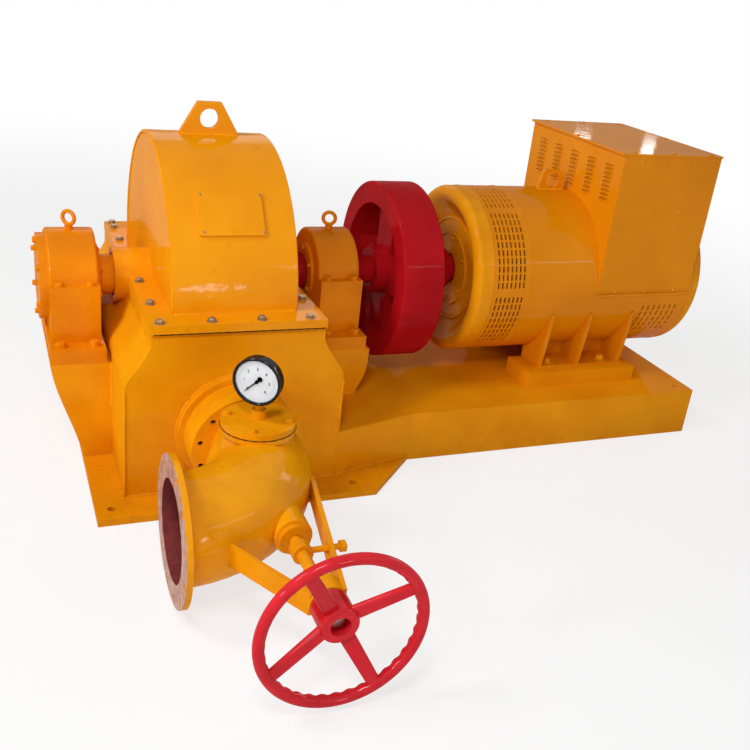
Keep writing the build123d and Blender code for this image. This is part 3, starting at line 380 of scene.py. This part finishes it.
def reopen(paint):
    """A finished enamel to be painted over in part: its tree, its shader, the piece's coordinates
    whole and apart, and the colour laid so far."""
    tree = paint.node_tree
    skin = tree.nodes["Principled BSDF"]
    at = put(tree, "ShaderNodeTexCoord").outputs["Object"]
    part = put(tree, "ShaderNodeSeparateXYZ", None, {0: at})
    return tree, skin, at, part, skin.inputs["Base Color"].links[0].from_socket


# Red enamel on turned iron: deep and even, with little gloss left.
red_coat = dict(full="#B8161E", thin="#A50F17", grime="#3A0508", patch_mm=180, peel_mm=10,
                peel_deep_mm=0.08, rough=0.24, coat=0.08)
flywheel_red = enamel("dark_red_enamel_on_turned_iron", **red_coat)
dress(flywheel_red, "flywheel", "coupling", "main_shaft")
# The sleeves: the same red, and yellow-orange on the left side of the machine's middle.
two_coats = enamel("red_and_yellow_enamel_on_sleeves", **red_coat)
tree, skin, at, part, red = reopen(two_coats)
left = put(tree, "ShaderNodeMath", {1: 0.0}, {0: part.outputs[0]}, operation="LESS_THAN")
tint = put(tree, "ShaderNodeMix", {7: linear("#EE900A")}, {0: left.outputs[0], 6: red},
           data_type="RGBA")
tree.links.new(tint.outputs[2], skin.inputs["Base Color"])
dress(two_coats, "shaft_sleeves")

# Generator: rolled sheet barrel with punched slots, cast end covers, feet and lug welded on.
# The stator, near black partly as painted shade, shows through the slots, and rings of bolts hold
# the ends.
# The maker's own enamel, sprayed: a little more orange than the turbine's, even and clear.
gen_enamel = enamel("orange_yellow_enamel_on_generator_sheet", "#EC920A", "#E08606", "#8A4A08",
                    patch_mm=420, peel_mm=12, peel_deep_mm=0.06, rough=0.25)
dress(gen_enamel, "gen_barrel", "gen_feet", "gen_lug")
dress(cast_enamel, "gen_bell", "rear_cover")
# Baked varnish on stacked sheet, dull and nearly black: dark varnish and painted shade, so that the
# slots read as dark.
core_varnish_and_painted_shade = enamel("black_varnish_on_laminations", "#1B1712", "#120F0C", "#2A2018",
                 patch_mm=60, peel_mm=3, peel_deep_mm=0.6, rough=0.5, coat=0.0)
dress(core_varnish_and_painted_shade, "stator_core")
bell_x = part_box("gen_bell")[1].x - 0.026
rear_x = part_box("rear_cover")[1].x
bell_bolt_r, rear_bolt_r, foot_bolt_y, foot_bolt_z = 0.128, 0.300, 0.262, 0.274
ring8 = rays("x", np.radians(np.arange(8) * 45 + 22.5))
hex_heads("bell_bolts", np.array([bell_x, 0, shaft_z]) + bell_bolt_r * ring6, (-1, 0, 0),
          flats=0.013, high=0.008, washer=0.009, material=cast_enamel)
hex_heads("rear_bolts", np.array([rear_x, 0, shaft_z]) + rear_bolt_r * ring8, (1, 0, 0),
          flats=0.019, high=0.010, washer=0.013, material=cast_enamel)
hex_heads("gen_foot_bolts", [(x, s * foot_bolt_y, foot_bolt_z)
                             for x in (1.427, 1.697) for s in (-1, 1)], (0, 0, 1),
          flats=0.030, high=0.017, washer=0.023, material=cast_enamel)


def hoops(name, centres, ring_r, section_r, material):
    """A round hoop about the shaft at each centre: a small circle carried round a large one."""
    turn = np.linspace(0, 2 * np.pi, 160, endpoint=False)
    small = np.linspace(0, 2 * np.pi, 9)
    out = ring_r + section_r * np.cos(small)
    points = np.stack([
        np.broadcast_to(section_r * np.sin(small), (len(turn), len(small))),
        np.cos(turn)[:, None] * out,
        np.sin(turn)[:, None] * out,
    ], -1)
    centres = np.asarray(centres, float)
    return shell(name, centres[:, None, None] + points[None], material, "frame")


barrel_low, barrel_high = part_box("gen_barrel")
barrel_r = 0.339
hoops("barrel_seams", [(x, 0, shaft_z)
                       for x in (barrel_low.x + 0.002, 1.226, 1.800, barrel_high.x)],
      barrel_r, 0.0028, gen_enamel)
gen_lug_low, gen_lug_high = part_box("gen_lug")
gen_lug_z = 0.957
ropes("gen_lug_welds", [
    straight((gen_lug_low.x, s * gen_lug_high.y, gen_lug_z),
             (gen_lug_high.x, s * gen_lug_high.y, gen_lug_z), 60) for s in (-1, 1)
], radius=0.005, pitch=0.010)

# Terminal housing: folded sheet with a lid, in the generator's enamel. The end panel has
# pressed louvres, the side panels lap over one another, and small domed screws hold them.
dress(gen_enamel, "terminal_box", "terminal_lid")
box_low, box_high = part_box("terminal_box")
side_y = box_low.y


def pressed_gills(name, seats, wide, tall, proud, material):
    """Pressed gills on the end panel: they stand out by the square root of a sine across and rise
    smoothly from the bottom edge to a lip at the slit."""
    u, v = np.meshgrid(np.linspace(0, 1, 13), np.linspace(0, 1, 7), indexing="ij")
    out = proud * np.sqrt(np.clip(np.sin(np.pi * u), 0, 1)) * np.sin(0.5 * np.pi * v)
    grid = np.stack([-out, (u - 0.5) * wide, v * tall], -1)
    piece = shell(name, np.asarray(seats, float)[:, None, None] + grid[None], material, "frame",
                  wrap=False, crease=70)
    wall = piece.modifiers.new("sheet", "SOLIDIFY")
    wall.thickness = 0.0012
    wall.offset = -1.0
    return piece


def pan_screws(name, seats, axes, head):
    """Low domed screw heads: a quarter ellipse of height turned round each axis, with a flat
    rim."""
    seats = np.asarray(seats, float)
    axes = np.broadcast_to(np.asarray(axes, float), seats.shape)
    turn = np.linspace(0, 2 * np.pi, 16, endpoint=False)
    lean = np.linspace(0, np.pi / 2, 6)
    radius = np.concatenate([[head], head * np.cos(lean)])
    rise = np.concatenate([[-0.001], 0.2 * head + 0.35 * head * np.sin(lean)])
    e1, e2 = across(axes)
    ray = np.cos(turn)[:, None] * e1[:, None] + np.sin(turn)[:, None] * e2[:, None]
    points = (seats[:, None, None] + radius[:, None] * ray[:, :, None]
              + rise[:, None] * axes[:, None, None])
    return shell(name, points, gen_enamel, "frame", crease=50)


def both_sides(name, places, head=0.008):
    """Screws at each (x, z) of the front panel and again on the back panel."""
    seats = [(x, s * side_y, z) for s in (1, -1) for x, z in places]
    return pan_screws(name, seats, np.repeat([[0, -1.0, 0], [0, 1.0, 0]], len(places), 0), head)


rows, cols = np.meshgrid(np.arange(9), np.arange(5), indexing="ij")
first_y, first_z, col_pitch, row_pitch = 0.245, 1.118, 0.125, 0.017
pressed_gills("louvre_gills", np.stack([
    np.full(rows.size, box_low.x - 0.0003),
    (first_y - col_pitch * cols).ravel() - 0.008,
    (first_z - row_pitch * rows).ravel() - 0.0095,
], 1), wide=0.046, tall=0.0112, proud=0.0045, material=gen_enamel)
both_sides("housing_screws", [(x, 1.150) for x in (1.562, 1.636, 1.748, 1.859, 1.99)]
           + [(1.562, 0.723), (1.562, 0.93), (2.004, 0.715), (2.004, 0.93)])
pan_screws("end_panel_screws", [(box_low.x, y, 1.146) for y in (-0.138, 0.123)], (-1, 0, 0),
           head=0.0065)
lid_top, lid_screw_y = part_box("terminal_lid")[1].z, 0.325
pan_screws("lid_screws", [(x, s * lid_screw_y, lid_top)
                          for x in (1.60, 1.79, 1.98) for s in (-1, 1)]
           + [(1.55, 0.0, lid_top), (2.0, 0.0, lid_top)], (0, 0, 1), head=0.008)
both_sides("lap_screws", [(1.73, 0.957), (1.87, 0.957)]
           + [(x, 0.616) for x in (1.64, 1.788, 1.934)])


def laps(name, runs, deep, proud, material):
    """The edge of a sheet laid over the next one: a low wedge, thick at its lower edge and nothing
    at the upper, drawn along each run."""
    runs = np.asarray(runs, float)
    drop = np.array([0.0, 0.0, -1.0, -1.0, 0.0]) * deep
    stand = np.array([-0.0005, 0.0001, 1.0 * proud, -0.0005, -0.0005])
    away = np.sign(runs[:, 0, 1])[:, None, None]
    points = np.repeat(runs[:, :, None], len(drop), 2)
    points[..., 1] = points[..., 1] + away * stand
    points[..., 2] = points[..., 2] + drop
    return shell(name, points, material, "frame", wrap=False, crease=20)


lap_runs = ((1.688, 1.925, 0.952), (box_low.x + 0.004, box_high.x - 0.004, 0.603))
laps("panel_laps", [[(x0, s * -side_y, z), (x1, s * -side_y, z)]
                    for x0, x1, z in lap_runs for s in (-1, 1)], 0.008, 0.0016, gen_enamel)

# Nozzle, elbow and inlet flange: iron castings with a rough skin under the enamel, bolted
# and welded to the case. The open bore has red oxide primer, and the flange face is worn
# to primer and metal.
dress(cast_enamel, "nozzle_stub")
flange_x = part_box("inlet_flange")[0].x
inlet_y, valve_z, bore_r, bend_r = -1.137, 0.250, 0.150, 0.308
rust_mm = 32.0
# Glossy yellow outside; inside the bend, within the bore's radius of its middle line, a dull
# red brown; on the flange face a pale scuffed pink where the primer is rubbed through.
for name, casting in (("elbow_casting_enamel_and_primer", "elbow_body"),
                      ("inlet_flange_enamel_and_worn_face", "inlet_flange")):
    coat = enamel(name, "#F2A20E", "#E49208", "#7E4208", patch_mm=170, peel_mm=6,
                  peel_deep_mm=0.16, rough=0.26, coat=0.22, sag_mm=0.9)
    tree, skin, at, part, old = reopen(coat)
    dx = put(tree, "ShaderNodeMath", {1: bend_r}, {0: part.outputs[0]}, operation="ADD")
    dy = put(tree, "ShaderNodeMath", {1: -inlet_y - bend_r}, {0: part.outputs[1]}, operation="ADD")
    dz = put(tree, "ShaderNodeMath", {1: -valve_z}, {0: part.outputs[2]}, operation="ADD")
    ahead = put(tree, "ShaderNodeMath", {1: 0.0}, {0: dx.outputs[0]}, operation="MAXIMUM")
    plan = put(tree, "ShaderNodeCombineXYZ", None, {0: ahead.outputs[0], 1: dy.outputs[0]})
    bow = put(tree, "ShaderNodeVectorMath", None, {0: plan.outputs[0]}, operation="LENGTH")
    off = put(tree, "ShaderNodeMath", {1: -bend_r}, {0: bow.outputs["Value"]}, operation="ADD")
    flat = put(tree, "ShaderNodeCombineXYZ", None, {1: off.outputs[0], 2: dz.outputs[0]})
    reach = put(tree, "ShaderNodeVectorMath", None, {0: flat.outputs[0]}, operation="LENGTH")
    near = put(tree, "ShaderNodeMath", {1: bore_r + 0.004}, {0: reach.outputs["Value"]},
               operation="LESS_THAN")
    past = put(tree, "ShaderNodeMath", {1: 0.0}, {0: dy.outputs[0]}, operation="LESS_THAN")
    inside = put(tree, "ShaderNodeMath", None, {0: near.outputs[0], 1: past.outputs[0]},
                 operation="MULTIPLY")
    rust = put(tree, "ShaderNodeTexNoise",
               {"Scale": 1000.0 / rust_mm, "Detail": 8.0, "Roughness": 0.7}, {"Vector": at})
    oxide = put(tree, "ShaderNodeMix", {6: linear("#561A1E"), 7: linear("#9A4A46")},
                {0: rust.outputs[0]}, data_type="RGBA")
    primed = put(tree, "ShaderNodeMix", None, {0: inside.outputs[0], 6: old, 7: oxide.outputs[2]},
                 data_type="RGBA")
    face = put(tree, "ShaderNodeMath", {1: flange_x + 0.0006}, {0: part.outputs[0]},
               operation="LESS_THAN")
    scuff = put(tree, "ShaderNodeMapRange", {"From Min": 0.40, "From Max": 0.62},
                {"Value": rust.outputs[0]})
    bare = put(tree, "ShaderNodeMix", {6: linear("#A9776A"), 7: linear("#C9A08C")},
               {0: scuff.outputs[0]}, data_type="RGBA")
    whole = put(tree, "ShaderNodeMix", None,
                {0: face.outputs[0], 6: primed.outputs[2], 7: bare.outputs[2]}, data_type="RGBA")
    tree.links.new(whole.outputs[2], skin.inputs["Base Color"])
    dress(coat, casting)

# Elbow flange screws: twelve black steel socket screws sunk in the counterbores of the flange,
# with a six-sided socket in each head, and the bead that welds the nozzle's boss to the case.


def socket_screws(name, seats, axis, head, material):
    """A round head with a six-sided pit: circles at the rim, then the pit at half the flats over
    the cosine of the angle to the nearest flat's middle, closed at its floor."""
    seats = np.asarray(seats, float)
    axis = np.asarray(axis, float)
    turn = np.linspace(0, 2 * np.pi, 24, endpoint=False)
    pit = 0.46 * head / np.cos((turn + np.pi / 6) % (np.pi / 3) - np.pi / 6)
    ring = np.ones(24)
    radii = np.stack([head * ring, head * ring, 0.93 * head * ring, pit, pit, 0 * ring], 1)
    rise = np.array([-0.001, 0.85 * head, head, head, 0.35 * head, 0.35 * head])
    e1, e2 = across(axis)
    ray = np.cos(turn)[:, None] * e1 + np.sin(turn)[:, None] * e2
    points = (seats[:, None, None] + radii[None, :, :, None] * ray[None, :, None]
              + rise[:, None] * axis)
    return shell(name, points, material, "frame", crease=25)


# Black oxide on steel: a thin oily film, brown black and without shine in the shade.
black_oxide = enamel("black_oxide_on_socket_screws", "#2A2320", "#1C1715", "#3A2A1C",
                     patch_mm=20, peel_mm=3, peel_deep_mm=0.1, rough=0.35, coat=0.0)
joint_y, sunk, pitch_r, boss_r = -0.722, 0.023, 0.160, 0.2055
ring12 = rays("y", np.radians(np.arange(12) * 30 + 17))
socket_screws("flange_screws", np.array([0.0, joint_y + sunk, valve_z]) + pitch_r * ring12,
              (0, -1, 0), 0.0085, black_oxide)
round_run = np.radians(np.linspace(0, 360, 420))
ropes("boss_weld", [np.array([0.0, face_y, valve_z]) + boss_r * rays("y", round_run)],
      radius=0.005, pitch=0.010)

# Hand-hole cover: a turned iron disc on the elbow's neck, over a dark jointing sheet. Four
# hexagon bolts hold it, and all was painted over.
dress(cast_enamel, "neck_cover")
cover_low, cover_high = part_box("neck_cover")
cover_mid = (cover_low + cover_high) / 2
cover_r, cover_bolt_r = (cover_high.x - cover_low.x) / 2, 0.097
turn4 = np.radians(np.arange(4) * 90 - 115)
hex_heads("cover_bolts", np.stack([cover_mid.x + cover_bolt_r * np.cos(turn4),
                                   cover_mid.y + cover_bolt_r * np.sin(turn4),
                                   np.full(4, cover_high.z)], 1), (0, 0, 1),
          flats=0.019, high=0.011, washer=0.013, material=cast_enamel)
ropes("cover_joint", [np.array([cover_mid.x, cover_mid.y, cover_low.z])
                      + cover_r * rays("z", round_run)],
      radius=0.0017, pitch=0.030, material=gasket_rubber)

# Pressure gauge: a black pressed steel case with a rolled bezel, and a white enamelled dial
# with printed marks, numbers and a pointer. It is screwed on a stem in the cover.
dress(cast_enamel, "gauge_stem")
# Stoved enamel: hard, black and shiny.
black_case = enamel("black_stoving_enamel", "#15161A", "#0E0F12", "#24242A",
                    patch_mm=60, peel_mm=6, peel_deep_mm=0.15, rough=0.2, coat=0.5)
dress(black_case, "gauge_case")
# Dial enamel: a flat, slightly blue white.
white_dial = enamel("white_enamelled_dial", "#DFE8EE", "#D8E2E9", "#C4CDD2",
                    patch_mm=40, peel_mm=8, peel_deep_mm=0.02, rough=0.35, coat=0.0)
dress(white_dial, "gauge_dial")
gauge_turn = math.radians(-37.0)
dial_out = np.array([math.sin(gauge_turn), -math.cos(gauge_turn), 0.0])
dial_right = np.array([math.cos(gauge_turn), math.sin(gauge_turn), 0.0])
dial_up = np.array([0.0, 0.0, 1.0])
gauge_mid = np.array([-0.014, -0.872, 0.580]) + 0.010 * dial_out
case_half, dial_sunk, dial_thick = 0.026, 0.006, 0.002
dial_mid = gauge_mid + (case_half - dial_sunk + dial_thick) * dial_out


def on_dial(x, y, lift):
    """Dial coordinates to the frame: x to the right, y up and lift out of the dial."""
    return (dial_mid + x[..., None] * dial_right + y[..., None] * dial_up
            + lift[..., None] * dial_out)


def dial_turning(name, radius, lift, material, count=96):
    """A profile given by radius and lift carried once round the dial's middle."""
    a = np.linspace(0, 2 * np.pi, count, endpoint=False)
    points = on_dial(np.cos(a)[:, None] * radius, np.sin(a)[:, None] * radius,
                     np.broadcast_to(lift, (count, len(lift))))
    return shell(name, points[None], material, "frame")


lip = np.linspace(0, np.pi, 9)
dial_turning("gauge_bezel", np.concatenate([[0.0765], 0.0725 + 0.0045 * np.cos(lip), [0.068]]),
             np.concatenate([[-0.012], 0.004 + 0.004 * np.sin(lip), [0.0]]), black_case)
# Printing ink: flat black, a little raised.
ink = enamel("black_dial_ink", "#101010", "#0A0A0A", "#181818",
             patch_mm=30, peel_mm=4, peel_deep_mm=0.02, rough=0.5, coat=0.0)
zero_deg, full_deg, mark_count, mark_r, number_r = 225, -45, 31, 0.0575, 0.040
marks = np.radians(np.linspace(zero_deg, full_deg, mark_count))
fifth = np.arange(mark_count) % 5 == 0
mark_long = np.where(fifth, 0.010, 0.0055)
mark_wide = np.where(fifth, 0.0015, 0.0008)
corner, upper = np.meshgrid([-1.0, 1.0, 1.0, -1.0], [0.0, 1.0], indexing="ij")
inner_end = np.array([0.0, 0.0, 1.0, 1.0])
radial = mark_r - mark_long[:, None, None] * inner_end[None, :, None] + 0 * upper
side = mark_wide[:, None, None] * corner[None]
lift = 0.0003 * upper[None] + 0 * radial
cos_m, sin_m = np.cos(marks)[:, None, None], np.sin(marks)[:, None, None]
shell("gauge_marks", on_dial(radial * cos_m - side * sin_m, radial * sin_m + side * cos_m, lift),
      ink, "frame", crease=20)

# The pointer: a blade that widens from its tip, a narrow neck and a round tail, given by its half
# width along its length.
needle = math.radians(zero_deg)
s = np.linspace(0, 1, 24)
blade_end, tail_start, neck_half = 0.62, 0.78, 0.0024
blade = 0.0008 + 0.0016 * s / blade_end
tail = neck_half + 0.006 * np.sin(np.pi * np.clip((s - tail_start) / 0.22, 0, 1)) ** 0.7
half = np.where(s < blade_end, blade, np.where(s < tail_start, neck_half, tail))
along = 0.052 - 0.074 * s
edge_side = np.array([-1.0, -1.0, 1.0, 1.0, -1.0])
edge_lift = np.array([0.0022, 0.0034, 0.0034, 0.0022, 0.0022])
x = along[:, None] * math.cos(needle) - half[:, None] * edge_side * math.sin(needle)
y = along[:, None] * math.sin(needle) + half[:, None] * edge_side * math.cos(needle)
shell("gauge_pointer", on_dial(x, y, np.broadcast_to(edge_lift, x.shape))[None], ink, "frame",
      wrap=False, crease=30)
dial_turning("gauge_pivot", np.array([0.0055, 0.0055, 0.004, 0.0]),
             np.array([0.0, 0.0048, 0.0056, 0.0058]), ink, 24)

for i, word in enumerate(("0", "1", "2", "3", "4", "5", "6")):
    curve = bpy.data.curves.new("dial_number", "FONT")
    curve.body = word
    curve.size = 0.0135
    curve.align_x = "CENTER"
    curve.align_y = "CENTER"
    curve.extrude = 0.00015
    curve.offset = 0.0002
    draft = bpy.data.objects.new("dial_number_draft", curve)
    mesh = bpy.data.meshes.new_from_object(draft)
    bpy.data.objects.remove(draft)
    a = math.radians(zero_deg - 45 * i)
    co = np.zeros(len(mesh.vertices) * 3)
    mesh.vertices.foreach_get("co", co)
    co = co.reshape(-1, 3)
    spot = on_dial(co[:, 0] + number_r * math.cos(a), co[:, 1] + number_r * math.sin(a),
                   co[:, 2] + 0.00025)
    mesh.vertices.foreach_set("co", spot.ravel())
    mesh.materials.clear()
    mesh.materials.append(ink)
    number = new_piece("dial_number_" + word, mesh)
    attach(number, "frame")

# Yoke, spindle, guide and gland: steel bar, turned steel and a cast ring, screwed and welded
# to the elbow. All of it was painted over except the end of the spindle in the wheel's hub.
dress(plate_enamel, "yoke", "guide_rod")
dress(cast_enamel, "gland_ring")
# Paint on turned steel: yellow as the yoke, and bare grey metal where the hub hides it.
painted_spindle = enamel("spindle_steel_part_painted", "#EC9A10", "#DC8608", "#7E470A",
                         patch_mm=90, peel_mm=6, peel_deep_mm=0.1, rough=0.3)
tree, skin, at, part, old = reopen(painted_spindle)
paint_end_y = -1.50
bare = put(tree, "ShaderNodeMath", {1: paint_end_y}, {0: part.outputs[1]}, operation="LESS_THAN")
tint = put(tree, "ShaderNodeMix", {7: linear("#9A958C")}, {0: bare.outputs[0], 6: old},
           data_type="RGBA")
tree.links.new(tint.outputs[2], skin.inputs["Base Color"])
tree.links.new(bare.outputs[0], skin.inputs["Metallic"])
dress(painted_spindle, "spindle")

# Handwheel: cast iron with a round rim, scalloped inside for the fingers, on a nut sleeve that
# turns in the yoke. A set screw in the hub holds it.
# Bright red enamel: clean and glossy, because hands keep it so.
wheel_red = enamel("bright_red_enamel_on_cast_wheel", "#D8202C", "#C81824", "#5A0A10",
                   patch_mm=90, peel_mm=7, peel_deep_mm=0.14, rough=0.22, coat=0.35)
dress(wheel_red, "handwheel")
wheel_y, rim_mid, rim_r = -1.660, 0.217, 0.0154
grips, grip_high, grip_side_deg = 36, 0.0038, 125
# The rim's section is a circle that swells towards the inside, once for each grip.
a = np.linspace(0, 2 * np.pi, 432, endpoint=False)
b = np.linspace(0, 2 * np.pi, 19)
inner = np.clip(np.cos(b - np.radians(grip_side_deg)), 0, 1) ** 1.5
knob = np.clip(0.5 + 0.5 * np.cos(grips * a), 0, 1)[:, None]
section = rim_r + grip_high * knob * inner
out_r = rim_mid + section * np.cos(b)
points = np.stack([np.cos(a)[:, None] * out_r, wheel_y + section * np.sin(b),
                   valve_z + np.sin(a)[:, None] * out_r], -1)
shell("wheel_finger_grips", points[None], wheel_red, "handwheel", crease=60)
screw_y, hub_r = -1.594, 0.0515
screw_at = rays("y", np.radians(np.array([118.0])))
hex_heads("hub_set_screw", np.array([[0.0, screw_y, valve_z]]) + hub_r * screw_at, screw_at,
          flats=0.013, high=0.009, washer=0.008, material=wheel_red,
          body="handwheel")

# Floor and surround: a plain pale studio floor that keeps the shadow, fading to white with
# distance, and a white surround. Both look white to the eye and in gloss, and the surround
# gives the object a weaker light.


def eye_rays(tree):
    """One for camera, glossy and transmission rays, and nothing for the rest."""
    path = put(tree, "ShaderNodeLightPath")
    seen = put(tree, "ShaderNodeMath", None,
               {0: path.outputs["Is Camera Ray"], 1: path.outputs["Is Glossy Ray"]},
               operation="MAXIMUM")
    seen = put(tree, "ShaderNodeMath", None,
               {0: seen.outputs[0], 1: path.outputs["Is Transmission Ray"]}, operation="MAXIMUM")
    return seen.outputs[0]


# Matt floor paint: pale grey, with no shine.
floor_paint = bpy.data.materials.new("pale_floor")
floor_paint.use_nodes = True
tree = floor_paint.node_tree
matt = tree.nodes["Principled BSDF"]
matt.inputs["Base Color"].default_value = (0.9, 0.9, 0.9, 1)
matt.inputs["Roughness"].default_value = 0.9
at = put(tree, "ShaderNodeTexCoord").outputs["Object"]
away = put(tree, "ShaderNodeVectorMath", None, {0: at}, operation="LENGTH")
fade = put(tree, "ShaderNodeMapRange",
           {"From Min": 2.5, "From Max": 7.0, "To Min": 0.72, "To Max": 1.0},
           {"Value": away.outputs["Value"]}, interpolation_type="SMOOTHSTEP")
share = put(tree, "ShaderNodeMath", None, {0: eye_rays(tree), 1: fade.outputs[0]},
            operation="MULTIPLY")
glow = put(tree, "ShaderNodeEmission", {"Color": (1, 1, 1, 1), "Strength": 1.0})
blend = put(tree, "ShaderNodeMixShader", None,
            {0: share.outputs[0], 1: matt.outputs[0], 2: glow.outputs[0]})
tree.links.new(blend.outputs[0], tree.nodes["Material Output"].inputs["Surface"])
sheet = bpy.data.meshes.new("floor")
sheet.from_pydata([(-30, -30, 0), (30, -30, 0), (30, 30, 0), (-30, 30, 0)], [], [(0, 1, 2, 3)])
sheet.materials.append(floor_paint)
floor = new_piece("floor", sheet)
floor.location.z = -0.001

world = bpy.data.worlds.new("white_surround")
bpy.context.scene.world = world
world.use_nodes = True
tree = world.node_tree
sky = tree.nodes["Background"]
aim = put(tree, "ShaderNodeTexCoord").outputs["Generated"]
tilt = put(tree, "ShaderNodeSeparateXYZ", None, {0: aim})
cast = put(tree, "ShaderNodeMapRange",
           {"From Min": 0.1, "From Max": 0.6, "To Min": 0.48, "To Max": 0.16},
           {"Value": tilt.outputs[2]}, interpolation_type="SMOOTHSTEP")
power = put(tree, "ShaderNodeMix", {3: 1.0}, {0: eye_rays(tree), 2: cast.outputs[0]})
sky.inputs[0].default_value = (1, 1, 1, 1)
tree.links.new(power.outputs[0], sky.inputs[1])

# Lamps: plain studio lamps, each with its place, aim, width, height and watts. The large ones
# light the object softly, and the small ones give the glints of a hall's lamps and windows.


def stand(thing, x, y, z, place):
    """Turns an object to the directions x, y and z and puts it at its place."""
    turned = np.stack([x, y, z], 1).tolist()
    thing.matrix_world = Matrix([[*row, p] for row, p in zip(turned, place)] + [[0, 0, 0, 1]])


for name, place, aim, wide, tall, watts in (
    ("key", (-5.5, -3.1, 3.0), (0.3, -0.3, 0.5), 0.8, 0.8, 84),
    ("side", (-3.4, -0.9, 4.6), (0.5, 0.0, 0.7), 1.2, 1.2, 112),
    ("fore", (-0.8, -2.7, 2.8), (-0.1, -0.7, 0.2), 0.6, 0.6, 31),
    ("front", (0.8, -4.6, 0.9), (0.5, 0.0, 0.7), 0.45, 0.3, 8),
    ("strip", (2.7, -3.9, 2.1), (1.1, 0.0, 0.7), 3.0, 0.12, 9),
    ("back", (1.2, 6.5, 3.8), (0.6, 0.0, 0.7), 3.4, 2.6, 62),
    ("spark", (-1.9, -3.4, 3.2), (-0.1, -0.4, 0.4), 0.16, 0.16, 6),
    ("right", (7.0, 1.5, 3.0), (1.6, 0.0, 0.6), 2.0, 2.0, 66),
    ("window_left", (5.4, 5.5, 2.25), (1.6, 0.0, 1.2), 0.18, 0.16, 1.2),
    ("window_right", (6.0, 5.1, 2.25), (1.6, 0.0, 1.2), 0.13, 0.26, 1.4),
):
    lamp = bpy.data.lights.new(name, "AREA")
    lamp.shape = "RECTANGLE"
    lamp.size = wide
    lamp.size_y = tall
    lamp.energy = watts
    z = np.array(place) - np.array(aim)
    z = z / np.linalg.norm(z)
    x = np.cross([0, 0, 1], z)
    x = x / np.linalg.norm(x)
    stand(new_piece(name, lamp), x, np.cross(z, x), z, place)

# Camera: at the photograph's place, solved from the machine's own right angles, with its yaw,
# pitch and roll in radians and its focal length in pixels of the frame.
yaw, pitch, roll = 0.4254553, 0.4188658, 0.1165905
camera_place = (-0.761658, -3.348025, 1.774315)
focal_px, frame_px, sensor_mm = 937.2143, 750.0, 36.0
ahead = np.array([math.sin(yaw) * math.cos(pitch), math.cos(yaw) * math.cos(pitch),
                  -math.sin(pitch)])
level_right = np.array([math.cos(yaw), -math.sin(yaw), 0.0])
level_up = np.cross(level_right, ahead)
camera_right = math.cos(roll) * level_right + math.sin(roll) * level_up
camera_up = -math.sin(roll) * level_right + math.cos(roll) * level_up
lens = bpy.data.cameras.new("camera")
lens.sensor_width = sensor_mm
lens.lens = focal_px * sensor_mm / frame_px
camera = new_piece("camera", lens)
stand(camera, camera_right, camera_up, -ahead, camera_place)
bpy.context.scene.camera = camera
bpy.context.scene.view_settings.view_transform = "Standard"
